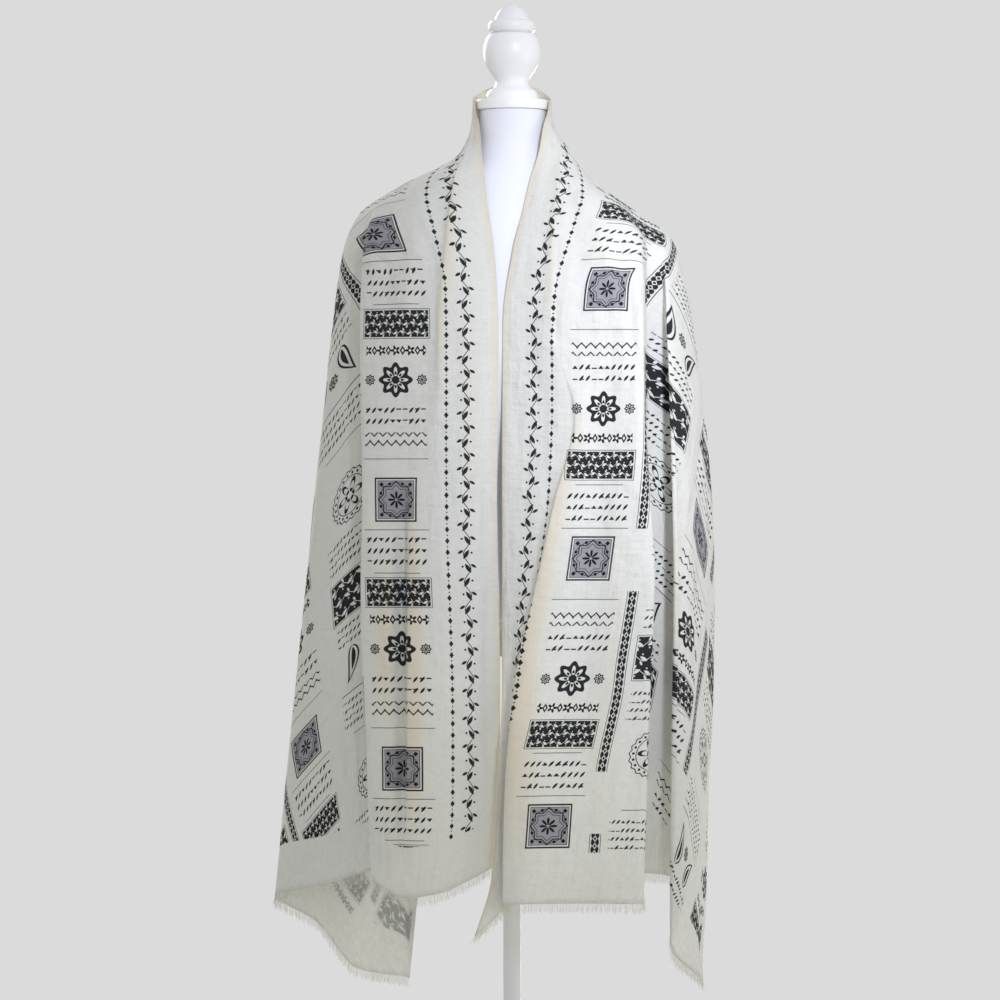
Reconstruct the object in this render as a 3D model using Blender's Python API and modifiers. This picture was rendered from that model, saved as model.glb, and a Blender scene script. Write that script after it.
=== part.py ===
"""Prayer shawl worn over a limbless dress form.

Metres, +Z up, the front faces -Y, the wearer's right side is at -X. The origin is the centre of the
underside of the stand's round base. The shawl is one rectangle of thin cloth. Its middle lies round the
neck, its two ends hang down the front, and its outer long edge falls behind and at the sides.
"""
from collections import namedtuple
from math import acos, cos, pi, sin

import bmesh
import bpy
import numpy as np

# --- driving sizes -----------------------------------------------------------------------------------
HEIGHT = 1.600              # top of the finial above the floor
WALL = 0.0012               # cloth wall
SEAM = 0.0003               # gap between neighbouring pieces
SEAM_SETBACK = 0.0003       # how far each wall stops short of a seam that runs down a fold
LEAST_SLANT = 0.2           # a seam is set back as if it slanted no more than this
FORM_CLEARANCE = 0.0010     # from the dress form to the middle of the cloth wall
FRINGE = 0.013              # length of the frayed ends
FRINGE_GAP = 0.0007         # gap above them, square to the hem, which narrows where the hem turns
NAPE = 1.5075               # top of the cloth at the back of the neck
NECK_SIDE = 1.478           # top of the cloth beside the neck
BACK_DROP = 0.680           # width of the cloth, which is its fall from the nape
NECK_TOP = 1.4665           # flat top of the torso's neck
TORSO_BOTTOM = 0.830
POLE_RADIUS = 0.011
BASE_RADIUS = 0.190
BASE_HEIGHT = 0.020
DOME_HEIGHT = 0.012         # rise at the middle of the base, round the pole
CAP_RADIUS = 0.0456
CAP_HEIGHT = 0.0125
CAP_EDGE = 0.0015           # bevel of the cap
SOCKET_RADIUS = 0.034       # plate of the socket under the torso
SOCKET_HEIGHT = 0.045

# --- cloth tables ------------------------------------------------------------------------------------
# A fold line runs down the cloth. Each has a few stations: its height, its distance out from the middle
# of the form and its depth, which is negative in front.
Station = namedtuple("Station", "height out depth")

# Order of the fold lines round one half of the cloth, from the inner selvedge to the spine, with the
# share of the way round the collar at which each starts and the columns of the grid up to the next one.
Line = namedtuple("Line", "name collar_share columns")
LINES = (
    Line("edge", 0.00, 3),
    Line("strip", 0.08, 3),
    Line("crease", 0.16, 2),
    Line("tuck", 0.25, 3),
    Line("fold", 0.34, 3),
    Line("valley", 0.41, 2),
    Line("shelf", 0.445, 2),
    Line("ridge", 0.48, 2),
    Line("side", 0.56, 4),
    Line("turn", 0.64, 2),
    Line("hollow", 0.70, 2),
    Line("corner", 0.76, 4),
    Line("back_hollow", 0.82, 2),
    Line("back_ridge", 0.88, 2),
    Line("back_valley", 0.94, 2),
    Line("spine", 1.00, 0),
)

# The collar is an ellipse round the neck: half width, front and back depth, and where the selvedge lies.
Collar = namedtuple("Collar", "height half_width front back edge_out")
LEFT_COLLAR = (
    Collar(1.503, 0.0480, 0.050, 0.058, 0.0480),
    Collar(1.466, 0.0495, 0.049, 0.056, 0.0455),
    Collar(1.445, 0.0515, 0.051, 0.056, 0.0405),
    Collar(1.415, 0.0640, 0.057, 0.060, 0.0380),
)
RIGHT_COLLAR = (
    Collar(1.503, 0.0480, 0.050, 0.058, 0.0480),
    Collar(1.466, 0.0495, 0.049, 0.056, 0.0450),
    Collar(1.445, 0.0540, 0.051, 0.056, 0.0390),
    Collar(1.415, 0.0725, 0.057, 0.060, 0.0340),
)

LEFT_FOLDS = {
    "edge": (Station(1.375, 0.034, -0.066), Station(1.335, 0.029, -0.086), Station(1.290, 0.0225, -0.099),
             Station(1.190, 0.017, -0.114), Station(0.980, 0.0188, -0.110), Station(0.760, 0.0150, -0.103),
             Station(0.640, 0.0155, -0.101), Station(0.500, 0.0275, -0.101)),
    "strip": (Station(1.375, 0.052, -0.070), Station(1.290, 0.048, -0.112), Station(1.190, 0.050, -0.124),
              Station(0.760, 0.047, -0.121), Station(0.500, 0.055, -0.117)),
    "crease": (Station(1.375, 0.070, -0.071), Station(1.290, 0.078, -0.117), Station(1.190, 0.084, -0.129),
               Station(0.760, 0.086, -0.126), Station(0.500, 0.090, -0.124)),
    "tuck": (Station(1.375, 0.093, -0.061), Station(1.335, 0.118, -0.090), Station(1.290, 0.130, -0.108),
             Station(1.190, 0.132, -0.116), Station(0.760, 0.132, -0.114), Station(0.480, 0.134, -0.113)),
    "fold": (Station(1.375, 0.112, -0.044), Station(1.335, 0.166, -0.060), Station(1.290, 0.181, -0.082),
             Station(1.190, 0.1865, -0.098), Station(0.980, 0.184, -0.102), Station(0.870, 0.186, -0.104),
             Station(0.640, 0.178, -0.101), Station(0.500, 0.172, -0.098)),
    "valley": (Station(1.375, 0.124, -0.028), Station(1.335, 0.176, -0.040), Station(1.290, 0.180, -0.056),
               Station(1.190, 0.173, -0.064), Station(0.870, 0.160, -0.066), Station(0.500, 0.166, -0.074)),
    "shelf": (Station(1.375, 0.1275, -0.019), Station(1.335, 0.1805, -0.030), Station(1.290, 0.188, -0.046),
              Station(1.190, 0.187, -0.054), Station(0.870, 0.188, -0.055), Station(0.500, 0.202, -0.056)),
    "ridge": (Station(1.375, 0.131, -0.011), Station(1.335, 0.185, -0.020), Station(1.290, 0.197, -0.034),
              Station(1.190, 0.202, -0.042), Station(0.870, 0.215, -0.042), Station(0.500, 0.238, -0.034)),
    "side": (Station(1.375, 0.135, 0.008), Station(1.335, 0.1925, 0.006), Station(1.290, 0.211, 0.002),
             Station(1.190, 0.224, 0.002), Station(0.980, 0.246, 0.004), Station(0.760, 0.268, 0.006),
             Station(0.480, 0.297, 0.010)),
    "turn": (Station(1.375, 0.120, 0.036), Station(1.335, 0.180, 0.044), Station(1.290, 0.203, 0.050),
             Station(1.190, 0.218, 0.056), Station(0.870, 0.252, 0.072), Station(0.640, 0.258, 0.066),
             Station(0.430, 0.246, 0.050)),
    "hollow": (Station(1.375, 0.106, 0.048), Station(1.335, 0.158, 0.062), Station(1.290, 0.178, 0.072),
               Station(1.190, 0.190, 0.078), Station(0.870, 0.205, 0.050), Station(0.640, 0.194, 0.028),
               Station(0.400, 0.196, 0.018)),
    "corner": (Station(1.375, 0.090, 0.058), Station(1.335, 0.130, 0.078), Station(1.290, 0.150, 0.090),
               Station(1.190, 0.162, 0.100), Station(0.870, 0.160, 0.112), Station(0.640, 0.138, 0.098),
               Station(0.370, 0.131, 0.080)),
}
RIGHT_FOLDS = {
    "edge": (Station(1.375, 0.022, -0.068), Station(1.335, 0.0125, -0.086), Station(1.290, 0.001, -0.101),
             Station(1.190, -0.012, -0.112), Station(0.980, -0.0125, -0.108), Station(0.760, -0.0122, -0.100),
             Station(0.640, -0.018, -0.126), Station(0.520, -0.025, -0.131), Station(0.440, -0.048, -0.136)),
    "strip": (Station(1.375, 0.040, -0.070), Station(1.290, 0.028, -0.109), Station(1.190, 0.020, -0.121),
              Station(1.080, 0.036, -0.126), Station(0.980, 0.021, -0.122), Station(0.870, 0.006, -0.114),
              Station(0.760, 0.000, -0.110), Station(0.640, 0.003, -0.110), Station(0.440, -0.008, -0.116)),
    "crease": (Station(1.375, 0.058, -0.070), Station(1.290, 0.052, -0.115), Station(1.190, 0.052, -0.130),
               Station(1.080, 0.078, -0.136), Station(0.980, 0.054, -0.139), Station(0.870, 0.031, -0.141),
               Station(0.760, 0.008, -0.141), Station(0.640, -0.004, -0.141), Station(0.470, -0.012, -0.141)),
    "tuck": (Station(1.375, 0.075, -0.064), Station(1.335, 0.096, -0.094), Station(1.290, 0.110, -0.117),
             Station(1.190, 0.114, -0.132), Station(0.760, 0.092, -0.136), Station(0.480, 0.076, -0.136)),
    "fold": (Station(1.375, 0.089, -0.050), Station(1.335, 0.136, -0.078), Station(1.290, 0.158, -0.103),
             Station(1.190, 0.160, -0.131), Station(1.080, 0.161, -0.138), Station(0.890, 0.1725, -0.144),
             Station(0.760, 0.167, -0.143), Station(0.500, 0.158, -0.140)),
    "valley": (Station(1.375, 0.097, -0.034), Station(1.335, 0.146, -0.052), Station(1.290, 0.167, -0.070),
               Station(1.190, 0.166, -0.080), Station(0.870, 0.168, -0.088), Station(0.510, 0.160, -0.094)),
    "shelf": (Station(1.375, 0.0995, -0.026), Station(1.335, 0.1505, -0.039), Station(1.290, 0.1795, -0.062),
              Station(1.190, 0.189, -0.068), Station(0.980, 0.201, -0.074), Station(0.870, 0.206, -0.077),
              Station(0.640, 0.204, -0.080), Station(0.480, 0.202, -0.082)),
    "ridge": (Station(1.375, 0.102, -0.017), Station(1.335, 0.154, -0.027), Station(1.290, 0.189, -0.056),
              Station(1.190, 0.191, -0.090), Station(0.980, 0.1985, -0.112), Station(0.870, 0.201, -0.118),
              Station(0.640, 0.1975, -0.123), Station(0.410, 0.193, -0.126)),
    "side": (Station(1.375, 0.106, 0.003), Station(1.335, 0.161, 0.001), Station(1.310, 0.196, -0.001),
             Station(1.290, 0.206, -0.004), Station(1.190, 0.226, -0.012), Station(0.980, 0.242, -0.022),
             Station(0.760, 0.2440, -0.032), Station(0.560, 0.2370, -0.040), Station(0.440, 0.2310, -0.046),
             Station(0.370, 0.2370, -0.050)),
    "turn": (Station(1.375, 0.098, 0.030), Station(1.335, 0.148, 0.040), Station(1.290, 0.198, 0.044),
             Station(1.190, 0.216, 0.050), Station(0.870, 0.240, 0.050), Station(0.560, 0.238, 0.026)),
    "hollow": (Station(1.375, 0.090, 0.044), Station(1.335, 0.134, 0.060), Station(1.290, 0.178, 0.070),
               Station(1.190, 0.190, 0.076), Station(0.870, 0.200, 0.052), Station(0.640, 0.205, 0.040)),
    "corner": (Station(1.375, 0.076, 0.058), Station(1.335, 0.112, 0.077), Station(1.290, 0.150, 0.090),
               Station(1.190, 0.162, 0.100), Station(0.870, 0.166, 0.112), Station(0.640, 0.168, 0.104)),
}
BACK_FOLDS = {
    "back_hollow": (Station(1.375, 0.072, 0.066), Station(1.290, 0.120, 0.100), Station(1.190, 0.128, 0.102),
                    Station(0.870, 0.120, 0.080), Station(0.640, 0.106, 0.064)),
    "back_ridge": (Station(1.375, 0.050, 0.073), Station(1.290, 0.088, 0.108), Station(1.190, 0.094, 0.122),
                   Station(0.820, 0.084, 0.152)),
    "back_valley": (Station(1.375, 0.028, 0.078), Station(1.290, 0.044, 0.106), Station(1.190, 0.046, 0.108),
                    Station(0.820, 0.042, 0.102)),
    "spine": (Station(1.375, 0.000, 0.079), Station(1.290, 0.000, 0.108), Station(1.190, 0.000, 0.118),
              Station(0.820, 0.000, 0.142)),
}

# Height of the lower edge of the fringe, or of the selvedge behind it, at each fold line.
LEFT_FOOT = dict(edge=0.515, strip=0.500, crease=0.485, tuck=0.479, fold=0.503, valley=0.511, shelf=0.500,
                 ridge=0.488, side=0.472, turn=0.436, hollow=0.381, corner=0.362, back_hollow=0.640,
                 back_ridge=0.765, back_valley=0.805, spine=NAPE - BACK_DROP)
RIGHT_FOOT = dict(edge=0.434, strip=0.470, crease=0.4735, tuck=0.474, fold=0.474, valley=0.508, shelf=0.500,
                  ridge=0.432, side=0.370, turn=0.570, hollow=0.655, corner=0.700, back_hollow=0.750,
                  back_ridge=0.790, back_valley=0.812, spine=NAPE - BACK_DROP)
SELVEDGE_RISE = 0.85        # share of the way to the next fold line in which the outer selvedge climbs
CLOTH_ROWS = 25
TOP_ROW_SHARE = 0.35        # how much closer the rows lie over the shoulders than at the hem
ROW_POWER = 2.2
LEAST_LINE_GAP = 0.02       # fold lines count as at least this far apart round the cloth
CLIMB_SHARE = 0.8           # share of the rise that the outer selvedge makes before it levels out
KNOT_HEIGHT = 0.90          # section at which the fold lines' places round the cloth are measured

Half = namedtuple("Half", "sign folds collar foot side_end hem_end")
LEFT = Half(-1, {**LEFT_FOLDS, **BACK_FOLDS}, LEFT_COLLAR, LEFT_FOOT, "back_ridge", "corner")
RIGHT = Half(1, {**RIGHT_FOLDS, **BACK_FOLDS}, RIGHT_COLLAR, RIGHT_FOOT, "corner", "side")

# --- dress form tables -------------------------------------------------------------------------------
Section = namedtuple("Section", "height half_width front back")
TORSO = (
    Section(NECK_TOP, 0.0420, 0.0420, 0.0420),
    Section(1.430, 0.0430, 0.0440, 0.0435),
    Section(1.405, 0.0500, 0.0520, 0.0510),
    Section(1.375, 0.0980, 0.0640, 0.0640),
    Section(1.350, 0.1300, 0.0760, 0.0740),
    Section(1.330, 0.1655, 0.0850, 0.0820),
    Section(1.305, 0.1800, 0.0930, 0.0900),
    Section(1.250, 0.1860, 0.1030, 0.0960),
    Section(1.180, 0.1760, 0.1110, 0.0980),
    Section(1.100, 0.1560, 0.1060, 0.0930),
    Section(0.990, 0.1280, 0.0880, 0.0820),
    Section(0.900, 0.1380, 0.0900, 0.0900),
    Section(0.860, 0.1430, 0.0920, 0.0930),
    Section(0.837, 0.1400, 0.0900, 0.0910),
    Section(TORSO_BOTTOM, 0.1340, 0.0850, 0.0860),
)
TORSO_SEGMENTS = 44
TORSO_ROWS_A_STEP = 2

# Outlines of the turned pieces, top to bottom: radius and height below the piece's own top.
Turned = namedtuple("Turned", "radius below")
FINIAL = (
    Turned(0.0040, 0.0000), Turned(0.0112, 0.0037), Turned(0.0175, 0.0100), Turned(0.0212, 0.0175),
    Turned(0.0225, 0.0200), Turned(0.0285, 0.0225), Turned(0.0300, 0.0285), Turned(0.0285, 0.0345),
    Turned(0.0240, 0.0362), Turned(0.0288, 0.0375), Turned(0.0345, 0.0475), Turned(0.0360, 0.0588),
    Turned(0.0338, 0.0738), Turned(0.0280, 0.0850), Turned(0.0212, 0.0950), Turned(0.0208, 0.0990),
    Turned(0.0240, 0.1050), Turned(0.0310, 0.1100), Turned(0.0325, 0.1190),
)
SOCKET = (
    Turned(SOCKET_RADIUS, 0.000), Turned(SOCKET_RADIUS, 0.006), Turned(0.020, 0.012), Turned(0.018, 0.014),
)
BASE = (
    Turned(0.018, 0.0000), Turned(0.024, 0.0030), Turned(0.030, DOME_HEIGHT),
    Turned(BASE_RADIUS - 0.040, DOME_HEIGHT + 0.004), Turned(BASE_RADIUS - 0.004, DOME_HEIGHT + 0.012),
    Turned(BASE_RADIUS, DOME_HEIGHT + 0.016), Turned(BASE_RADIUS, DOME_HEIGHT + BASE_HEIGHT - 0.0015),
    Turned(BASE_RADIUS - 0.0015, DOME_HEIGHT + BASE_HEIGHT),
)
TURNED_STEPS = 36


# --- curves ------------------------------------------------------------------------------------------
def even_curve(knots, values, at):
    """Smooth curve through values at rising knots that never swings past them."""
    knots, values, at = np.asarray(knots), np.asarray(values, dtype=float), np.asarray(at, dtype=float)
    step = np.diff(knots)[:, None]
    values = values.reshape(len(knots), -1)
    slope = np.diff(values, axis=0) / step
    before, after = slope[:-1], slope[1:]
    same_way = before * after > 0
    total = np.where(same_way, before + after, 1.0)
    tangent = np.zeros_like(values)
    tangent[1:-1] = np.where(same_way, 2.0 * before * after / total, 0.0)
    tangent[0], tangent[-1] = slope[0], slope[-1]
    return hermite(knots, values, tangent, at)


def round_curve(knots, values, at):
    """Smooth curve through values at rising knots that turns roundly at each of them."""
    knots, at = np.asarray(knots), np.asarray(at, dtype=float)
    step = np.diff(knots)[:, None]
    slope = np.diff(values, axis=0) / step
    tangent = np.empty_like(values)
    tangent[1:-1] = (slope[:-1] * step[1:] + slope[1:] * step[:-1]) / (step[:-1] + step[1:])
    tangent[0], tangent[-1] = slope[0], slope[-1]
    return hermite(knots, values, tangent, at)


def hermite(knots, values, tangent, at):
    inside = np.clip(at, knots[0], knots[-1])
    low = np.clip(np.searchsorted(knots, inside, side="right") - 1, 0, len(knots) - 2)
    width = (knots[low + 1] - knots[low])[:, None]
    t = (inside - knots[low])[:, None] / width
    return ((2 * t**3 - 3 * t**2 + 1) * values[low] + (t**3 - 2 * t**2 + t) * width * tangent[low]
            + (3 * t**2 - 2 * t**3) * values[low + 1] + (t**3 - t**2) * width * tangent[low + 1])


def torso_at(height):
    """Half width, front depth and back depth of the torso at each height, and how fast each grows."""
    rows = sorted(TORSO)
    knots = [row.height for row in rows]
    sizes = [row[1:] for row in rows]
    delta = 0.002
    above, below = (even_curve(knots, sizes, height + change) for change in (delta, -delta))
    return even_curve(knots, sizes, height), (above - below) / (2 * delta)


def clear_of_form(points):
    """Move points of the cloth out, level, until they lie on the dress form's surface and its clearance."""
    sizes, growth = torso_at(points[:, 2])
    reach = sizes + FORM_CLEARANCE * np.sqrt(1.0 + growth**2)
    depth = np.where(points[:, 1] < 0, reach[:, 1], reach[:, 2])
    share = np.hypot(points[:, 0] / reach[:, 0], points[:, 1] / depth)
    scale = np.where(points[:, 2] < NECK_TOP, np.maximum(1.0, 1.0 / np.maximum(share, 1e-6)), 1.0)
    moved = points.copy()
    moved[:, :2] *= scale[:, None]
    return moved


# --- the cloth's surface -----------------------------------------------------------------------------
def collar_station(collar, share):
    """The point of a collar ellipse at a share of the way from the selvedge to the spine."""
    start = -acos(min(1.0, collar.edge_out / collar.half_width))
    angle = start + (pi / 2 - start) * share
    depth = collar.front if angle < 0 else collar.back
    return Station(collar.height, collar.half_width * cos(angle), depth * sin(angle))


def fold_line(half, line):
    """All the stations of a fold line, lowest first."""
    collar = [collar_station(ring, line.collar_share) for ring in half.collar]
    return sorted(collar + list(half.folds[line.name]))


def line_knots(half):
    """Place of each fold line round the half, in metres along the section below the waist."""
    height = np.array([KNOT_HEIGHT])
    points = np.array([line_point(half, line, height)[0] for line in LINES])
    gaps = np.hypot(*np.diff(points, axis=0).T)
    return np.concatenate([[0.0], np.cumsum(np.maximum(gaps, LEAST_LINE_GAP))])


def line_point(half, line, heights):
    stations = fold_line(half, line)
    return even_curve([s.height for s in stations], [(s.out, s.depth) for s in stations], heights)


def foot_height(half, knots, along):
    """Height of the cloth's lower edge, fringe included, at each place round the half."""
    names = [line.name for line in LINES]
    last_hem = names.index(half.hem_end)
    feet = np.array([half.foot[name] for name in names])
    climb_end = knots[last_hem] + SELVEDGE_RISE * (knots[last_hem + 1] - knots[last_hem])
    hem = even_curve(knots[:last_hem + 1], feet[:last_hem + 1], along)[:, 0]
    rest_knots = np.concatenate([[knots[last_hem], climb_end], knots[last_hem + 1:]])
    climb_foot = feet[last_hem] + CLIMB_SHARE * (feet[last_hem + 1] - feet[last_hem])
    rest_feet = np.concatenate([[feet[last_hem], climb_foot], feet[last_hem + 1:]])
    rest = even_curve(rest_knots, rest_feet, along)[:, 0]
    return np.where(along <= knots[last_hem], hem, rest)


def surface(half, along, height):
    """Points of the cloth at places round the half, each at its own height."""
    knots = line_knots(half)
    lines = np.stack([line_point(half, line, height) for line in LINES])
    points = np.empty((len(along), 3))
    for index, place in enumerate(along):
        points[index, :2] = round_curve(knots, lines[:, index], [place])[0]
    points[:, 2] = height
    return clear_of_form(points) * (half.sign, 1, 1)


def cloth_half(half):
    """Rows of points down a half, the two rows of its fringe, and the column at each fold line."""
    knots = line_knots(half)
    along = [knots[0]]
    for index, line in enumerate(LINES[:-1]):
        along += list(np.linspace(knots[index], knots[index + 1], line.columns + 1)[1:])
    along = np.array(along)
    column = {line.name: int(np.argmin(abs(along - knot))) for line, knot in zip(LINES, knots)}
    fringe = np.where(np.arange(len(along)) <= column[half.hem_end], FRINGE, 0.0)
    top = NECK_SIDE + (NAPE - NECK_SIDE) * np.sin(along / along[-1] * pi / 2)
    foot = foot_height(half, knots, along)
    rows = []
    for t in np.linspace(0.0, 1.0, CLOTH_ROWS + 1):
        down = TOP_ROW_SHARE * t + (1 - TOP_ROW_SHARE) * t**ROW_POWER
        rows.append(surface(half, along, top + (foot + fringe - top) * down))
    fall = (rows[-1] - rows[-2]) / (rows[-2] - rows[-1])[:, 2:]
    gap = FRINGE_GAP / np.maximum(squareness(np.gradient(rows[-1], axis=0), fall), LEAST_SLANT)
    fray = [rows[-1] + fall * gap, rows[-1] + fall * FRINGE]
    return np.array(rows), np.array(fray), column


def wall_normals(rows):
    """Outward unit normals of a grid whose rows run down and whose columns run round it from the left.

    The cloth before and after each column counts alike, so a sharp fold's wall splits its angle evenly.
    """
    step, down = np.diff(rows, axis=1), np.gradient(rows, axis=0)
    before, after = np.cross(step, down[:, 1:]), np.cross(step, down[:, :-1])
    before /= np.linalg.norm(before, axis=-1, keepdims=True)
    after /= np.linalg.norm(after, axis=-1, keepdims=True)
    normal = np.concatenate([after[:, :1], before[:, :-1] + after[:, 1:], before[:, -1:]], axis=1)
    return normal / np.linalg.norm(normal, axis=-1, keepdims=True)


def stretch(rows, first, last, shorten_first, shorten_last):
    """Columns first to last of the rows, drawn back by half a seam at the ends that meet a neighbour."""
    piece = rows[:, first:last + 1].copy()
    if shorten_first:
        piece[:, 0] = drawn_back(rows, first, 1)
    if shorten_last:
        piece[:, -1] = drawn_back(rows, last, -1)
    return piece


def drawn_back(rows, column, step):
    """A column of points moved along their rows until it lies half a seam, squarely, from where it was."""
    along = rows[:, column + step] - rows[:, column]
    along /= np.linalg.norm(along, axis=1, keepdims=True)
    square = squareness(along, np.gradient(rows[:, column], axis=0))
    return rows[:, column] + along * SEAM_SETBACK / np.maximum(square, LEAST_SLANT)


def squareness(first, second):
    """Sine of the angle between two directions at each point."""
    lengths = np.linalg.norm(first, axis=1, keepdims=True) * np.linalg.norm(second, axis=1, keepdims=True)
    return np.linalg.norm(np.cross(first, second), axis=1, keepdims=True) / lengths


# --- objects -----------------------------------------------------------------------------------------
def material(name, colour, roughness, metallic=0.0):
    made = bpy.data.materials.new(name)
    made.use_nodes = True
    shader = made.node_tree.nodes["Principled BSDF"]
    shader.inputs["Base Color"].default_value = (*colour, 1.0)
    shader.inputs["Roughness"].default_value = roughness
    shader.inputs["Metallic"].default_value = metallic
    return made


def add_object(name, mesh, finish):
    made = bpy.data.objects.new(name, mesh)
    mesh.materials.append(finish)
    bpy.data.collections["prayer_shawl"].objects.link(made)
    return made


def loft(name, rings):
    """A closed mesh through rings of points, top to bottom, with flat ends."""
    made = bmesh.new()
    rings = [[made.verts.new(point) for point in ring] for ring in rings]
    for upper, lower in zip(rings, rings[1:]):
        count = len(upper)
        for k in range(count):
            following = (k + 1) % count
            made.faces.new((upper[k], lower[k], lower[following], upper[following]))
    made.faces.new(rings[0])
    made.faces.new(rings[-1][::-1])
    mesh = bpy.data.meshes.new(name)
    made.to_mesh(mesh)
    made.free()
    mesh.shade_smooth()
    return mesh


def cloth_piece(name, middle, normals, finish):
    """A closed wall about a grid of points; the normals are the whole cloth's, so neighbours agree."""
    outer, inner = middle + normals * WALL / 2, middle - normals * WALL / 2
    made = bmesh.new()
    out = [[made.verts.new(point) for point in row] for row in outer]
    back = [[made.verts.new(point) for point in row] for row in inner]
    for grid, flip in ((out, 1), (back, -1)):
        for upper, lower in zip(grid, grid[1:]):
            for k in range(len(upper) - 1):
                # both skins are cut along the same diagonal, so a twisted cell keeps its wall
                made.faces.new((upper[k], lower[k], lower[k + 1])[::flip])
                made.faces.new((upper[k], lower[k + 1], upper[k + 1])[::flip])
    rims = ((out[0], back[0], -1), (out[-1], back[-1], 1),
            ([row[0] for row in out], [row[0] for row in back], 1),
            ([row[-1] for row in out], [row[-1] for row in back], -1))
    for outside, inside, flip in rims:
        for k in range(len(outside) - 1):
            made.faces.new((outside[k], inside[k], inside[k + 1], outside[k + 1])[::flip])
    bmesh.ops.recalc_face_normals(made, faces=made.faces)
    mesh = bpy.data.meshes.new(name)
    made.to_mesh(mesh)
    made.free()
    mesh.shade_smooth()
    return add_object(name, mesh, finish)


def build_cloth():
    cloth = material("cloth", (0.86, 0.85, 0.78), 0.85)
    fray = material("frayed_ends", (0.88, 0.86, 0.76), 0.9)
    left_rows, left_fray, left_column = cloth_half(LEFT)
    right_rows, right_fray, right_column = cloth_half(RIGHT)
    rows = np.concatenate([left_rows, right_rows[:, -2::-1]], axis=1)
    fringe = np.concatenate([left_fray, right_fray[:, -2::-1]], axis=1)
    normals = wall_normals(rows)
    fringe_normals = np.array([normals[-1], normals[-1]])
    end = rows.shape[1] - 1

    left_valley, right_valley = left_column["valley"], end - right_column["valley"]
    left_seam, right_seam = left_column[LEFT.side_end], end - right_column[RIGHT.side_end]
    left_hem, right_hem = left_column[LEFT.hem_end], end - right_column[RIGHT.hem_end]
    pieces = (("left_front", 0, left_valley), ("left_side", left_valley, left_seam),
              ("back_fall", left_seam, right_seam), ("right_side", right_seam, right_valley),
              ("right_front", right_valley, end))
    for name, first, last in pieces:
        middle = stretch(rows, first, last, first > 0, last < end)
        cloth_piece(name, middle, normals[:, first:last + 1], cloth)
    ends = (("left_front_fringe", 0, left_valley), ("left_side_fringe", left_valley, left_hem),
            ("right_side_fringe", right_hem, right_valley), ("right_front_fringe", right_valley, end))
    for name, first, last in ends:
        meets = (left_valley, right_valley)
        middle = stretch(fringe, first, last, first in meets, last in meets)
        cloth_piece(name, middle, fringe_normals[:, first:last + 1], fray)


def build_torso():
    heights = []
    for upper, lower in zip(TORSO, TORSO[1:]):
        heights += list(np.linspace(upper.height, lower.height, TORSO_ROWS_A_STEP, endpoint=False))
    heights = np.array(heights + [TORSO_BOTTOM])
    sizes, _ = torso_at(heights)
    rows = []
    for height, (half_width, front, back) in zip(heights, sizes):
        angles = [2 * pi * k / TORSO_SEGMENTS for k in range(TORSO_SEGMENTS)]
        rows.append([(half_width * cos(a), (back if sin(a) > 0 else front) * sin(a), height) for a in angles])
    skin = material("form_fabric", (0.88, 0.88, 0.95), 0.8)
    add_object("torso", loft("torso", rows), skin)


def turned(name, outline, finish):
    """A solid of revolution about Z from an outline of (radius, height), top to bottom."""
    mesh = bpy.data.meshes.new(name)
    made = bmesh.new()
    points = [(0.0, 0.0, outline[0][1])] + [(r, 0.0, z) for r, z in outline] + [(0.0, 0.0, outline[-1][1])]
    verts = [made.verts.new(point) for point in points]
    for pair in zip(verts, verts[1:]):
        made.edges.new(pair)
    made.to_mesh(mesh)
    made.free()
    spun = add_object(name, mesh, finish)
    screw = spun.modifiers.new("turn", "SCREW")
    screw.axis = "Z"
    screw.steps = TURNED_STEPS
    screw.render_steps = TURNED_STEPS
    screw.use_merge_vertices = True
    screw.merge_threshold = 0.00005
    return spun


def build_stand():
    paint = material("white_paint", (0.90, 0.90, 0.90), 0.35)
    metal = material("white_metal", (0.86, 0.86, 0.86), 0.30)
    cap_bottom = NECK_TOP + SEAM
    cap_top = cap_bottom + CAP_HEIGHT
    turned("neck_cap", ((CAP_RADIUS - CAP_EDGE, cap_top), (CAP_RADIUS, cap_top - CAP_EDGE),
                        (CAP_RADIUS, cap_bottom + CAP_EDGE), (CAP_RADIUS - CAP_EDGE, cap_bottom)), paint)
    foot = cap_top + SEAM
    outline = [(ring.radius, HEIGHT - ring.below) for ring in FINIAL]
    turned("finial", outline + [(FINIAL[-1].radius, foot)], paint)

    socket_top = TORSO_BOTTOM - SEAM
    socket_foot = socket_top - SOCKET_HEIGHT
    turned("pole_socket", [(radius, socket_top - below) for radius, below in SOCKET]
           + [(SOCKET[-1].radius, socket_foot + 0.002), (SOCKET[-1].radius - 0.002, socket_foot)], metal)
    dome_top = BASE_HEIGHT + DOME_HEIGHT
    turned("pole", ((POLE_RADIUS, socket_foot - SEAM), (POLE_RADIUS, dome_top + SEAM)), metal)
    turned("base", [(radius, dome_top - below) for radius, below in BASE], metal)


def main():
    for old in list(bpy.data.objects):
        bpy.data.objects.remove(old, do_unlink=True)
    parts = bpy.data.collections.new("prayer_shawl")
    bpy.context.scene.collection.children.link(parts)
    build_torso()
    build_stand()
    build_cloth()


main()
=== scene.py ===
"""Looks of a prayer shawl draped over a limbless dress form: cloth, print, frayed ends, form and stand."""
from collections import namedtuple
from functools import partialmethod
from math import acos, cos, pi, radians, sin

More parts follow.
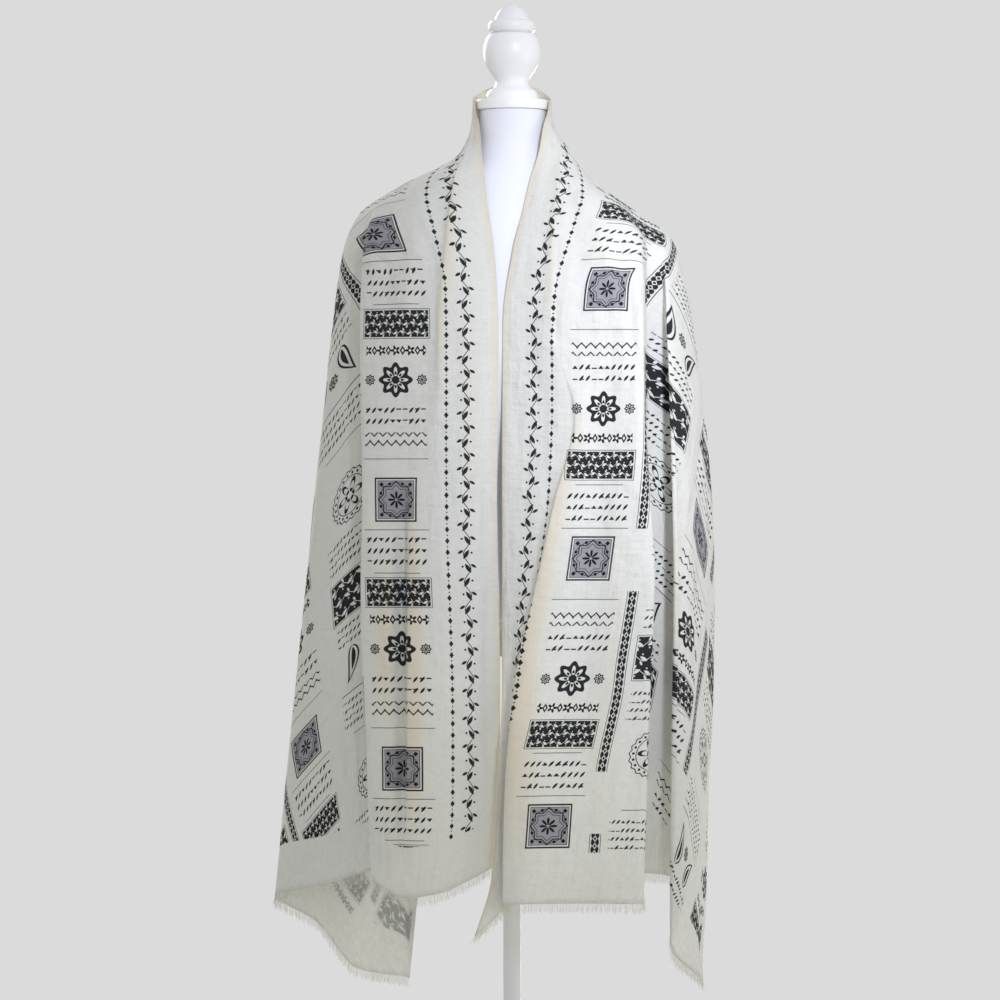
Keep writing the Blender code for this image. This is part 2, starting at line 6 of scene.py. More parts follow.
import bpy
import numpy as np
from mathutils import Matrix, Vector


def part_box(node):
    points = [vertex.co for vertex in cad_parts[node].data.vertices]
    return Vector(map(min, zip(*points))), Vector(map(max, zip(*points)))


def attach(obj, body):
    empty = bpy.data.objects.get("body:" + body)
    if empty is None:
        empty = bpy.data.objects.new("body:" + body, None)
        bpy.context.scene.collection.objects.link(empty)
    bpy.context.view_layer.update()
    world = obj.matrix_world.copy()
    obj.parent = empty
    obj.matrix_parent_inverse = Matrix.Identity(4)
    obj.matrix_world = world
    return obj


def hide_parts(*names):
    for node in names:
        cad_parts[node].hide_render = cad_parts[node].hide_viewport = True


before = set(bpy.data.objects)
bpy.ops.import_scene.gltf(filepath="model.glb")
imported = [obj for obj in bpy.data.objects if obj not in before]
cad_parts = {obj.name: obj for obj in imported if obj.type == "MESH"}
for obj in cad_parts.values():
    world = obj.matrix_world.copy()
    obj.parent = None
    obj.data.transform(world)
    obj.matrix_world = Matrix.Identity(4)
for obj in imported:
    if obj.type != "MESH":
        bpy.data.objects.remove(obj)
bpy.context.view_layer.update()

# --- sizes of the cloth, in metres -------------------------------------------------------------------
TINY = 1e-12                # least divisor
CLOTH_WIDTH = 0.680
CLOTH_LENGTH = 2.150
SHELL = 0.0007              # thickness of the woven cloth
FORM_CLEARANCE = 0.0010     # from the dress form to the middle of the cloth
FRINGE = 0.013
NAPE = 1.5075
NECK_SIDE = 1.478
NECK_TOP = 1.4665
TORSO_BOTTOM = 0.830
SELVEDGE_RISE = 0.85        # how far on towards the next fold line the outer selvedge makes its climb
CLIMB_SHARE = 0.8           # and how much of its climb to the next foot that is
KNOT_HEIGHT = 0.90          # the fold lines' places round a half are measured at this height
LEAST_LINE_GAP = 0.02

# Fold lines round one half of the cloth, from the inner selvedge to the spine: the share of the way
# round the collar at which each starts and the columns of the grid up to the next one.
Line = namedtuple("Line", "name collar_share columns")
LINES = [Line(*row) for row in (
    ("edge", 0.00, 12),
    ("strip", 0.08, 14),
    ("crease", 0.16, 16),
    ("tuck", 0.25, 14),
    ("fold", 0.34, 12),
    ("valley", 0.41, 8),
    ("shelf", 0.445, 8),
    ("ridge", 0.48, 10),
    ("side", 0.56, 10),
    ("turn", 0.64, 8),
    ("hollow", 0.70, 6),
    ("corner", 0.76, 8),
    ("back_hollow", 0.82, 6),
    ("back_ridge", 0.88, 6),
    ("back_valley", 0.94, 6),
    ("spine", 1.00, 0),
)]
NAMES = [line.name for line in LINES]
CLOTH_ROWS = 155
CROWDING = 0.7              # how much closer the columns lie beside the fold lines than between them
TOP_ROW_SHARE = 0.60

Collar = namedtuple("Collar", "height half_width front back edge_out")
LEFT_COLLAR = (
    Collar(1.503, 0.0480, 0.050, 0.058, 0.0480),
    Collar(1.466, 0.0495, 0.049, 0.056, 0.0455),
    Collar(1.445, 0.0515, 0.051, 0.056, 0.0405),
    Collar(1.415, 0.0640, 0.057, 0.060, 0.0380),
)
RIGHT_COLLAR = (
    Collar(1.503, 0.0480, 0.050, 0.058, 0.0480),
    Collar(1.466, 0.0495, 0.049, 0.056, 0.0450),
    Collar(1.445, 0.0540, 0.051, 0.056, 0.0390),
    Collar(1.415, 0.0725, 0.057, 0.060, 0.0340),
)

# Each fold line has a few stations, a row for each: its height, its distance out from the middle and its
# depth, negative in front.
Station = namedtuple("Station", "height out depth")
LEFT_FOLDS = {
    "edge": ((1.375, 0.034, -0.066), (1.335, 0.029, -0.086), (1.290, 0.0225, -0.099), (1.190, 0.017, -0.114),
             (0.980, 0.0188, -0.110), (0.760, 0.0150, -0.103), (0.640, 0.0155, -0.101),
             (0.500, 0.0275, -0.101)),
    "strip": ((1.375, 0.052, -0.070), (1.290, 0.048, -0.112), (1.190, 0.050, -0.124), (0.760, 0.047, -0.121),
              (0.500, 0.055, -0.117)),
    "crease": ((1.375, 0.070, -0.071), (1.290, 0.078, -0.117), (1.190, 0.084, -0.129), (0.760, 0.086, -0.126),
               (0.500, 0.090, -0.124)),
    "tuck": ((1.375, 0.093, -0.061), (1.335, 0.118, -0.090), (1.290, 0.130, -0.108), (1.190, 0.132, -0.116),
             (0.760, 0.132, -0.114), (0.480, 0.134, -0.113)),
    "fold": ((1.375, 0.112, -0.044), (1.335, 0.166, -0.060), (1.290, 0.181, -0.082), (1.190, 0.1865, -0.098),
             (0.980, 0.184, -0.102), (0.870, 0.186, -0.104), (0.640, 0.178, -0.101), (0.500, 0.172, -0.098)),
    "valley": ((1.375, 0.124, -0.028), (1.335, 0.176, -0.040), (1.290, 0.180, -0.056), (1.190, 0.173, -0.064),
               (0.870, 0.160, -0.066), (0.500, 0.166, -0.074)),
    "shelf": ((1.375, 0.1275, -0.019), (1.335, 0.1805, -0.030), (1.290, 0.188, -0.046),
              (1.190, 0.187, -0.054), (0.870, 0.188, -0.055), (0.500, 0.202, -0.056)),
    "ridge": ((1.375, 0.131, -0.011), (1.335, 0.185, -0.020), (1.290, 0.197, -0.034), (1.190, 0.202, -0.042),
              (0.870, 0.215, -0.042), (0.500, 0.238, -0.034)),
    "side": ((1.375, 0.135, 0.008), (1.335, 0.1925, 0.006), (1.290, 0.211, 0.002), (1.190, 0.224, 0.002),
             (0.980, 0.246, 0.004), (0.760, 0.268, 0.006), (0.480, 0.297, 0.010)),
    "turn": ((1.375, 0.120, 0.036), (1.335, 0.180, 0.044), (1.290, 0.203, 0.050), (1.190, 0.218, 0.056),
             (0.870, 0.252, 0.072), (0.640, 0.258, 0.066), (0.430, 0.246, 0.050)),
    "hollow": ((1.375, 0.106, 0.048), (1.335, 0.158, 0.062), (1.290, 0.178, 0.072), (1.190, 0.190, 0.078),
               (0.870, 0.205, 0.050), (0.640, 0.194, 0.028), (0.400, 0.196, 0.018)),
    "corner": ((1.375, 0.090, 0.058), (1.335, 0.130, 0.078), (1.290, 0.150, 0.090), (1.190, 0.162, 0.100),
               (0.870, 0.160, 0.112), (0.640, 0.138, 0.098), (0.370, 0.131, 0.080)),
}
RIGHT_FOLDS = {
    "edge": ((1.375, 0.022, -0.068), (1.335, 0.0125, -0.086), (1.290, 0.001, -0.101), (1.190, -0.012, -0.112),
             (0.980, -0.0125, -0.108), (0.760, -0.0122, -0.100), (0.640, -0.018, -0.126),
             (0.520, -0.025, -0.131), (0.440, -0.048, -0.136)),
    "strip": ((1.375, 0.040, -0.070), (1.290, 0.028, -0.109), (1.190, 0.020, -0.121), (1.080, 0.036, -0.126),
              (0.980, 0.021, -0.122), (0.870, 0.006, -0.114), (0.760, 0.000, -0.110), (0.640, 0.003, -0.110),
              (0.440, -0.008, -0.116)),
    "crease": ((1.375, 0.058, -0.070), (1.290, 0.052, -0.115), (1.190, 0.052, -0.130), (1.080, 0.078, -0.136),
               (0.980, 0.054, -0.139), (0.870, 0.031, -0.141), (0.760, 0.008, -0.141),
               (0.640, -0.004, -0.141), (0.470, -0.012, -0.141)),
    "tuck": ((1.375, 0.075, -0.064), (1.335, 0.096, -0.094), (1.290, 0.110, -0.117), (1.190, 0.114, -0.132),
             (0.760, 0.092, -0.136), (0.480, 0.076, -0.136)),
    "fold": ((1.375, 0.089, -0.050), (1.335, 0.136, -0.078), (1.290, 0.158, -0.103), (1.190, 0.160, -0.131),
             (1.080, 0.161, -0.138), (0.890, 0.1725, -0.144), (0.760, 0.167, -0.143), (0.500, 0.158, -0.140)),
    "valley": ((1.375, 0.097, -0.034), (1.335, 0.146, -0.052), (1.290, 0.167, -0.070), (1.190, 0.166, -0.080),
               (0.870, 0.168, -0.088), (0.510, 0.160, -0.094)),
    "shelf": ((1.375, 0.0995, -0.026), (1.335, 0.1505, -0.039), (1.290, 0.1795, -0.062),
              (1.190, 0.189, -0.068), (0.980, 0.201, -0.074), (0.870, 0.206, -0.077), (0.640, 0.204, -0.080),
              (0.480, 0.202, -0.082)),
    "ridge": ((1.375, 0.102, -0.017), (1.335, 0.154, -0.027), (1.290, 0.189, -0.056), (1.190, 0.191, -0.090),
              (0.980, 0.1985, -0.112), (0.870, 0.201, -0.118), (0.640, 0.1975, -0.123),
              (0.410, 0.193, -0.126)),
    "side": ((1.375, 0.106, 0.003), (1.335, 0.161, 0.001), (1.310, 0.196, -0.001), (1.290, 0.206, -0.004),
             (1.190, 0.226, -0.012), (0.980, 0.242, -0.022), (0.760, 0.2440, -0.032), (0.560, 0.2370, -0.040),
             (0.440, 0.2310, -0.046), (0.370, 0.2370, -0.050)),
    "turn": ((1.375, 0.098, 0.030), (1.335, 0.148, 0.040), (1.290, 0.198, 0.044), (1.190, 0.216, 0.050),
             (0.870, 0.240, 0.050), (0.560, 0.238, 0.026)),
    "hollow": ((1.375, 0.090, 0.044), (1.335, 0.134, 0.060), (1.290, 0.178, 0.070), (1.190, 0.190, 0.076),
               (0.870, 0.200, 0.052), (0.640, 0.205, 0.040)),
    "corner": ((1.375, 0.076, 0.058), (1.335, 0.112, 0.077), (1.290, 0.150, 0.090), (1.190, 0.162, 0.100),
               (0.870, 0.166, 0.112), (0.640, 0.168, 0.104)),
}
BACK_FOLDS = {
    "back_hollow": ((1.375, 0.072, 0.066), (1.290, 0.120, 0.100), (1.190, 0.128, 0.102),
                    (0.870, 0.120, 0.080), (0.640, 0.106, 0.064)),
    "back_ridge": ((1.375, 0.050, 0.073), (1.290, 0.088, 0.108), (1.190, 0.094, 0.122),
                   (0.820, 0.084, 0.152)),
    "back_valley": ((1.375, 0.028, 0.078), (1.290, 0.044, 0.106), (1.190, 0.046, 0.108),
                    (0.820, 0.042, 0.102)),
    "spine": ((1.375, 0.000, 0.079), (1.290, 0.000, 0.108), (1.190, 0.000, 0.118), (0.820, 0.000, 0.142)),
}
# Height of the lower edge of the fringe, or of the selvedge behind it, at each fold line.
LEFT_FOOT = dict(edge=0.515, strip=0.500, crease=0.485, tuck=0.479, fold=0.503, valley=0.511, shelf=0.500,
                 ridge=0.488, side=0.472, turn=0.436, hollow=0.381, corner=0.362, back_hollow=0.640,
                 back_ridge=0.765, back_valley=0.805, spine=NAPE - CLOTH_WIDTH)
RIGHT_FOOT = dict(edge=0.434, strip=0.470, crease=0.4735, tuck=0.474, fold=0.474, valley=0.508, shelf=0.500,
                  ridge=0.432, side=0.370, turn=0.570, hollow=0.655, corner=0.700, back_hollow=0.750,
                  back_ridge=0.790, back_valley=0.812, spine=NAPE - CLOTH_WIDTH)
Half = namedtuple("Half", "sign folds collar foot hem_end")
LEFT = Half(-1, {**LEFT_FOLDS, **BACK_FOLDS}, LEFT_COLLAR, LEFT_FOOT, "corner")
RIGHT = Half(1, {**RIGHT_FOLDS, **BACK_FOLDS}, RIGHT_COLLAR, RIGHT_FOOT, "side")

# Ridges (depth over zero) and troughs pressed into the cloth. A place is a number of fold lines from the
# inner selvedge, so 2.5 lies midway between the third line and the fourth. Inner and outer are the widths
# of a crease's two slopes, towards the inner selvedge and away from it, so a pleat is steep on one side.
CREASE_FADE = 0.7           # under 1, a crease keeps its depth for longer towards its two ends
Crease = namedtuple("Crease", "top_place top_height foot_place foot_height inner outer depth")
LEFT_CREASES = (
    (2.00, 1.445, 2.20, 1.070, 0.016, 0.002, 0.0055),
    (2.35, 1.400, 2.50, 1.090, 0.010, 0.012, -0.0035),
    (2.86, 1.010, 2.86, 0.530, 0.020, 0.003, 0.0085),
    (3.04, 1.000, 3.04, 0.535, 0.004, 0.009, -0.0110),
    (3.24, 0.960, 3.22, 0.560, 0.004, 0.014, 0.0045),
    (3.45, 0.930, 3.50, 0.700, 0.014, 0.014, 0.0034),
    (0.90, 1.250, 1.20, 0.820, 0.016, 0.016, 0.0031),
    (1.55, 1.040, 1.35, 0.560, 0.018, 0.018, -0.0037),
    (0.35, 1.120, 0.45, 0.640, 0.011, 0.011, -0.0024),
    (3.80, 0.640, 3.55, 0.515, 0.005, 0.005, -0.0037),
    (3.40, 0.620, 3.35, 0.505, 0.005, 0.005, 0.0031),
    (3.00, 1.340, 3.70, 1.180, 0.016, 0.016, -0.0044),
    (2.80, 1.300, 3.40, 1.080, 0.014, 0.014, 0.0034),
    (6.00, 1.260, 6.20, 0.760, 0.013, 0.013, 0.0026),
    (7.10, 1.180, 7.40, 0.700, 0.016, 0.016, -0.0030),
    (7.70, 1.220, 7.90, 0.560, 0.013, 0.013, 0.0028),
    (8.30, 1.150, 8.60, 0.520, 0.018, 0.018, -0.0048),
    (5.60, 0.800, 5.80, 0.520, 0.010, 0.010, -0.0022),
    (9.40, 1.180, 9.80, 0.560, 0.015, 0.015, 0.0045),
    (10.3, 1.120, 10.5, 0.520, 0.017, 0.017, -0.0045),
    (11.4, 1.240, 11.6, 0.800, 0.014, 0.014, 0.0042),
    (12.6, 1.280, 12.4, 0.900, 0.012, 0.012, -0.0035),
    (13.5, 1.360, 13.3, 0.880, 0.011, 0.011, 0.0035),
    (14.4, 1.330, 14.6, 0.940, 0.012, 0.012, -0.0038),
)
RIGHT_CREASES = (
    (2.00, 1.445, 1.90, 1.150, 0.014, 0.002, 0.0045),
    (2.40, 1.400, 2.55, 1.160, 0.010, 0.010, -0.0032),
    (2.00, 1.140, 2.00, 0.505, 0.002, 0.022, 0.0075),
    (1.60, 1.060, 1.60, 0.520, 0.012, 0.008, -0.0051),
    (2.85, 1.360, 3.30, 1.190, 0.013, 0.013, 0.0037),
    (3.25, 1.330, 3.80, 1.120, 0.014, 0.014, -0.0041),
    (0.70, 1.250, 0.90, 1.000, 0.013, 0.013, -0.0031),
    (2.90, 1.060, 2.60, 0.620, 0.018, 0.018, -0.0034),
    (3.35, 1.010, 3.20, 0.560, 0.014, 0.014, 0.0031),
    (3.75, 0.900, 3.70, 0.500, 0.010, 0.010, -0.0027),
    (2.40, 0.800, 2.30, 0.500, 0.012, 0.012, 0.0027),
    (5.90, 1.240, 6.10, 0.700, 0.010, 0.010, -0.0022),
    (7.05, 1.130, 7.05, 0.440, 0.007, 0.007, 0.0045),
    (7.22, 1.150, 7.25, 0.460, 0.006, 0.006, -0.0030),
    (7.40, 1.200, 7.50, 0.520, 0.010, 0.012, 0.0026),
    (7.75, 1.100, 7.60, 0.620, 0.010, 0.010, -0.0024),
    (8.40, 1.200, 8.50, 0.640, 0.015, 0.015, 0.0045),
    (9.30, 1.160, 9.60, 0.700, 0.015, 0.015, -0.0048),
    (10.4, 1.200, 10.6, 0.760, 0.016, 0.016, 0.0042),
    (11.5, 1.220, 11.3, 0.800, 0.013, 0.013, -0.0038),
    (12.4, 1.300, 12.6, 0.920, 0.012, 0.012, 0.0038),
    (13.6, 1.340, 13.4, 0.860, 0.012, 0.012, -0.0035),
    (14.3, 1.300, 14.5, 0.900, 0.013, 0.013, 0.0032),
)

# --- sizes of the dress form and its stand -----------------------------------------------------------
# Level sections of the torso: height, half width, and depth to the front and to the back.
TORSO = (
    (NECK_TOP, 0.0420, 0.0420, 0.0420),
    (1.430, 0.0430, 0.0440, 0.0435),
    (1.405, 0.0500, 0.0520, 0.0510),
    (1.375, 0.0980, 0.0640, 0.0640),
    (1.350, 0.1300, 0.0760, 0.0740),
    (1.330, 0.1655, 0.0850, 0.0820),
    (1.305, 0.1800, 0.0930, 0.0900),
    (1.250, 0.1860, 0.1030, 0.0960),
    (1.180, 0.1760, 0.1110, 0.0980),
    (1.100, 0.1560, 0.1060, 0.0930),
    (0.990, 0.1280, 0.0880, 0.0820),
    (0.900, 0.1380, 0.0900, 0.0900),
    (0.860, 0.1430, 0.0920, 0.0930),
    (0.837, 0.1400, 0.0900, 0.0910),
    (TORSO_BOTTOM, 0.1340, 0.0850, 0.0860),
)
# The finial's outline, top to bottom, in stretches that are each one smooth curve: radius, and how far down.
FINIAL = (
    ((0.0000, 0.0000), (0.0060, 0.0008), (0.0112, 0.0037), (0.0175, 0.0100),
     (0.0212, 0.0175), (0.0222, 0.0200)),
    ((0.0222, 0.0200), (0.0282, 0.0223), (0.0300, 0.0283), (0.0282, 0.0343),
     (0.0240, 0.0362)),
    ((0.0240, 0.0362), (0.0288, 0.0382), (0.0340, 0.0470), (0.0360, 0.0585),
     (0.0340, 0.0730), (0.0280, 0.0850), (0.0218, 0.0945), (0.0208, 0.0990),
     (0.0232, 0.1040), (0.0300, 0.1092), (0.0325, 0.1140), (0.0325, 0.1190)),
)


# --- curves ------------------------------------------------------------------------------------------
def stretch(knots, at):
    """Which stretch between knots each place is in, the stretch's width and the share of the way along it."""
    low = np.clip(np.searchsorted(knots, at, side="right") - 1, 0, len(knots) - 2)
    width = knots[low + 1] - knots[low]
    return low, width, (at - knots[low]) / width


def even_curve(knots, values, at):
    """Smooth curve through values at rising knots that never swings past them."""
    knots, values, at = np.asarray(knots), np.asarray(values, dtype=float), np.asarray(at, dtype=float)
    step = np.diff(knots)[:, None]
    values = values.reshape(len(knots), -1)
    slope = np.diff(values, axis=0) / step
    before, after = slope[:-1], slope[1:]
    same_way = before * after > 0
    total = np.where(same_way, before + after, 1.0)
    tangent = np.zeros_like(values)
    tangent[1:-1] = np.where(same_way, 2.0 * before * after / total, 0.0)
    tangent[0], tangent[-1] = slope[0], slope[-1]
    low, width, t = stretch(knots, np.clip(at, knots[0], knots[-1]))
    return hermite(t[:, None], width[:, None], values[low], values[low + 1], tangent[low], tangent[low + 1])


def hermite(t, width, start, end, leave, arrive):
    return ((2 * t**3 - 3 * t**2 + 1) * start + (t**3 - 2 * t**2 + t) * width * leave
            + (3 * t**2 - 2 * t**3) * end + (t**3 - t**2) * width * arrive)


def round_tangents(knots, values):
    """How values change at each knot of a smooth curve that turns roundly at each of them."""
    step = np.diff(knots).reshape((-1,) + (1,) * (values.ndim - 1))
    slope = np.diff(values, axis=0) / step
    tangent = np.empty_like(values)
    tangent[1:-1] = (slope[:-1] * step[1:] + slope[1:] * step[:-1]) / (step[:-1] + step[1:])
    tangent[0], tangent[-1] = slope[0], slope[-1]
    return tangent


def round_curve(knots, values, at):
    """Round smooth curve through values, along their first axis, at rising knots."""
    knots = np.asarray(knots, dtype=float)
    tangent = round_tangents(knots, values)
    low, width, t = stretch(knots, at)
    shape = (-1,) + (1,) * (values.ndim - 1)
    return hermite(t.reshape(shape), width.reshape(shape), values[low], values[low + 1],
                   tangent[low], tangent[low + 1])


def run_length(points, axis=0):
    """Length along a line of points from its start to each of them."""
    steps = np.linalg.norm(np.diff(points, axis=axis), axis=-1)
    start = np.zeros_like(np.take(steps, [0], axis=axis))
    return np.cumsum(np.concatenate([start, steps], axis=axis), axis=axis)


# --- the draped surface ------------------------------------------------------------------------------
def torso_at(height):
    """Half width, front depth and back depth of the torso at each height, and how fast each grows."""
    rows = np.array(sorted(TORSO))
    knots, sizes = rows[:, 0], rows[:, 1:]
    delta = 0.002
    above, below = (even_curve(knots, sizes, height + change) for change in (delta, -delta))
    return even_curve(knots, sizes, height), (above - below) / (2 * delta)


def clear_of_form(points):
    """Move points of the cloth out, level, until they lie on the dress form's surface and its clearance."""
    flat = points.reshape(-1, 3)
    sizes, growth = torso_at(flat[:, 2])
    reach = sizes + FORM_CLEARANCE * np.sqrt(1.0 + growth**2)
    depth = np.where(flat[:, 1] < 0, reach[:, 1], reach[:, 2])
    share = np.hypot(flat[:, 0] / reach[:, 0], flat[:, 1] / depth)
    scale = np.where(flat[:, 2] < NECK_TOP, np.maximum(1.0, 1.0 / np.maximum(share, TINY)), 1.0)
    moved = flat.copy()
    moved[:, :2] *= scale[:, None]
    return moved.reshape(points.shape)


def collar_station(collar, share):
    """The point of a collar ellipse at a share of the way from the selvedge to the spine."""
    start = -acos(min(1.0, collar.edge_out / collar.half_width))
    angle = start + (pi / 2 - start) * share
    depth = collar.front if angle < 0 else collar.back
    return Station(collar.height, collar.half_width * cos(angle), depth * sin(angle))


def line_point(half, line, heights):
    """Where a fold line lies at each height."""
    collar = [collar_station(ring, line.collar_share) for ring in half.collar]
    stations = sorted(collar + [Station(*row) for row in half.folds[line.name]])
    return even_curve([s.height for s in stations], [(s.out, s.depth) for s in stations], heights)


def line_knots(half):
    """Place of each fold line round the half, in metres along its level section."""
    height = np.array([KNOT_HEIGHT])
    points = np.array([line_point(half, line, height)[0] for line in LINES])
    gaps = np.hypot(*np.diff(points, axis=0).T)
    return np.concatenate([[0.0], np.cumsum(np.maximum(gaps, LEAST_LINE_GAP))])


def foot_height(half, knots, along):
    """Height of the cloth's lower edge, fringe included, at each place round the half."""
    last_hem = NAMES.index(half.hem_end)
    feet = np.array([half.foot[name] for name in NAMES])
    climb_end = knots[last_hem] + SELVEDGE_RISE * (knots[last_hem + 1] - knots[last_hem])
    hem = even_curve(knots[:last_hem + 1], feet[:last_hem + 1], along)[:, 0]
    rest_knots = np.concatenate([[knots[last_hem], climb_end], knots[last_hem + 1:]])
    climb_foot = feet[last_hem] + CLIMB_SHARE * (feet[last_hem + 1] - feet[last_hem])
    rest_feet = np.concatenate([[feet[last_hem], climb_foot], feet[last_hem + 1:]])
    rest = even_curve(rest_knots, rest_feet, along)[:, 0]
    return np.where(along <= knots[last_hem], hem, rest)


def drape_half(half, creases):
    """Rows of points down a half, how far each is pushed out by its creases, and the hem's last column."""
    knots = line_knots(half)
    along = [knots[0]]
    for index, line in enumerate(LINES[:-1]):
        share = np.linspace(0, 1, line.columns + 1)[1:]
        share -= CROWDING * np.sin(2 * pi * share) / (2 * pi)
        along += list(knots[index] + (knots[index + 1] - knots[index]) * share)
    along = np.array(along)
    hem_end = int(np.argmin(abs(along - knots[NAMES.index(half.hem_end)])))
    fringe = np.where(np.arange(len(along)) <= hem_end, FRINGE, 0.0)
    top = NECK_SIDE + (NAPE - NECK_SIDE) * np.sin(along / along[-1] * pi / 2)
    foot = foot_height(half, knots, along)
    t = np.linspace(0.0, 1.0, CLOTH_ROWS + 1)[:, None]
    heights = top + (foot + fringe - top) * (TOP_ROW_SHARE * t + (1 - TOP_ROW_SHARE) * t**2)

    lines = np.stack([line_point(half, line, heights.ravel()).reshape(*heights.shape, 2) for line in LINES])
    tangents = round_tangents(knots, lines)
    low, width, share = stretch(knots, along)
    each = np.arange(len(along))
    level = hermite(share[:, None, None], width[:, None, None], lines[low, :, each], lines[low + 1, :, each],
                    tangents[low, :, each], tangents[low + 1, :, each])
    rows = np.concatenate([level.transpose(1, 0, 2), heights[..., None]], axis=-1)
    rows = clear_of_form(rows) * (half.sign, 1, 1)
    push = sum(pressed(Crease(*row), knots, along, heights) for row in creases)
    return rows, push, hem_end


def pressed(crease, knots, along, heights):
    """How far one crease pushes each point out: a soft hump across it that dies away at both its ends."""
    down = (crease.top_height - heights) / (crease.top_height - crease.foot_height)
    place = crease.top_place + (crease.foot_place - crease.top_place) * down
    middle = np.interp(place, np.arange(len(knots)), knots)
    ends = np.clip(down * (1 - down) * 4, 0, 1) ** CREASE_FADE
    offset = along - middle
    width = np.where(offset < 0, crease.inner, crease.outer)
    return crease.depth * ends * np.exp(-(offset / width) ** 2)


def outward(rows):
    """Outward unit normals of a grid whose rows run down and whose columns run round it from the left."""
    normal = np.cross(np.gradient(rows, axis=1), np.gradient(rows, axis=0))
    return normal / np.linalg.norm(normal, axis=-1, keepdims=True)


def cells(index):
    """The four corners of each cell of a grid of indices whose rows run down, anticlockwise from outside."""
    corners = (index[:-1, :-1], index[1:, :-1], index[1:, 1:], index[:-1, 1:])
    return np.stack([corner.ravel() for corner in corners], 1)


# --- the cloth laid flat -----------------------------------------------------------------------------
FLAT_COLUMN_STEP = 4        # the flat pattern is worked out on every fourth column
FLAT_ROW_STEP = 5           # and on every fifth row of the drape
FLAT_ROUNDS = 30
LEAST_STIFFNESS, MOST_STIFFNESS = 0.02, 20.0
STRAIGHT_BELOW = 1.26       # the front panels hang with their grain upright below this height


def lay_flat(rows, spine, folds):
    """Flat places of a draped grid, as complex numbers: across from the inner selvedge and along from the
    spine. The inner selvedge and the front panels hang straight, and elsewhere small triangles keep their
    shape as nearly as they can."""
    height, width = rows.shape[:2]
    index = np.arange(height * width).reshape(height, width)
    a, b, c, d = cells(index).T
    triangles = np.concatenate([np.stack([a, b, c], 1), np.stack([a, c, d], 1)])
    points = rows.reshape(-1, 3)[triangles]
    first, second = points[:, 1] - points[:, 0], points[:, 2] - points[:, 0]
    length = np.linalg.norm(first, axis=1)
    level = np.einsum("ij,ij->i", first, second) / length
    rise = np.sqrt(np.maximum(np.einsum("ij,ij->i", second, second) - level**2, TINY))
    own = np.stack([np.zeros(len(level)), length, level - 1j * rise], 1)

    count = height * width
    stiffness = np.zeros((count, count))
    edges = []
    for start, end, opposite in ((0, 1, 2), (1, 2, 0), (2, 0, 1)):
        to_start, to_end = own[:, start] - own[:, opposite], own[:, end] - own[:, opposite]
        product = np.conj(to_start) * to_end
        weight = np.clip(product.real / np.maximum(abs(product.imag), TINY), LEAST_STIFFNESS,
                         MOST_STIFFNESS)
        i, j = triangles[:, start], triangles[:, end]
        for row, column, sign in ((i, i, 1), (j, j, 1), (i, j, -1), (j, i, -1)):
            np.add.at(stiffness, (row, column), sign * weight)
        edges.append((i, j, weight, own[:, end] - own[:, start]))

    selvedge = np.concatenate([index[::-1, 0], index[0, 1:], index[1:, -1]])
    run = run_length(rows.reshape(-1, 3)[selvedge])
    held = np.full(count, np.nan, dtype=complex)
    held[selvedge] = 1j * (run[list(selvedge).index(index[0, spine])] - run)
    for way, end, last in ((1, 0, folds[0]), (-1, width - 1, folds[1])):
        front = rows[:, end:last + way if last + way >= 0 else None:way]
        along = np.interp(-front[..., 2], -rows[:, end, 2], held[index[:, end]].imag)
        low = front[..., 2] < STRAIGHT_BELOW
        held[index[:, end:last + way:way][low]] = (run_length(front, axis=1) + 1j * along)[low]
    settled = np.flatnonzero(~np.isnan(held))
    loose = np.flatnonzero(np.isnan(held))

    # The first guess puts the outer border on part of an ellipse.
    outer = np.intersect1d(index[-1], loose)
    share = np.linspace(1, -1, len(outer))
    flat = held.copy()
    flat[outer] = CLOTH_WIDTH * np.sqrt(1 - (0.9 * share)**2) + 0.45j * share * CLOTH_LENGTH
    known, inner = np.union1d(settled, outer), np.setdiff1d(loose, outer)
    to_known = stiffness[np.ix_(inner, known)] @ flat[known]
    flat[inner] = np.linalg.solve(stiffness[np.ix_(inner, inner)], -to_known)
    inverse = np.linalg.inv(stiffness[np.ix_(loose, loose)])
    to_held = stiffness[np.ix_(loose, settled)] @ held[settled]
    for _ in range(FLAT_ROUNDS):
        turn = sum(weight * np.conj(step) * (flat[j] - flat[i]) for i, j, weight, step in edges)
        turn /= np.maximum(abs(turn), TINY)
        pull = np.zeros(count, dtype=complex)
        for i, j, weight, step in edges:
            np.add.at(pull, j, weight * turn * step)
            np.add.at(pull, i, -weight * turn * step)
        flat[loose] = inverse @ (pull[loose] - to_held)
    return flat.reshape(height, width)


def flat_places(rows, spine, folds):
    """The flat place of every point of the fine grid, from a coarser one."""
    some_rows = np.arange(0, rows.shape[0], FLAT_ROW_STEP)
    some_columns = np.arange(0, rows.shape[1], FLAT_COLUMN_STEP)
    coarse = lay_flat(rows[np.ix_(some_rows, some_columns)], spine // FLAT_COLUMN_STEP,
                      [fold // FLAT_COLUMN_STEP for fold in folds])
    tall = round_curve(some_rows, coarse, np.arange(rows.shape[0]))
    round_it = run_length(rows[rows.shape[0] // 2])
    return round_curve(round_it[some_columns], tall.T, round_it).T


# --- meshes ------------------------------------------------------------------------------------------
def in_scene(name, data):
    """A new object of some data, in the scene."""
    made = bpy.data.objects.new(name, data)
    bpy.context.scene.collection.objects.link(made)
    return made


def mesh_object(name, points, faces, finish):
    mesh = bpy.data.meshes.new(name)
    mesh.from_pydata(np.asarray(points).tolist(), [], faces)
    mesh.materials.append(finish)
    mesh.shade_smooth()
    return in_scene(name, mesh)


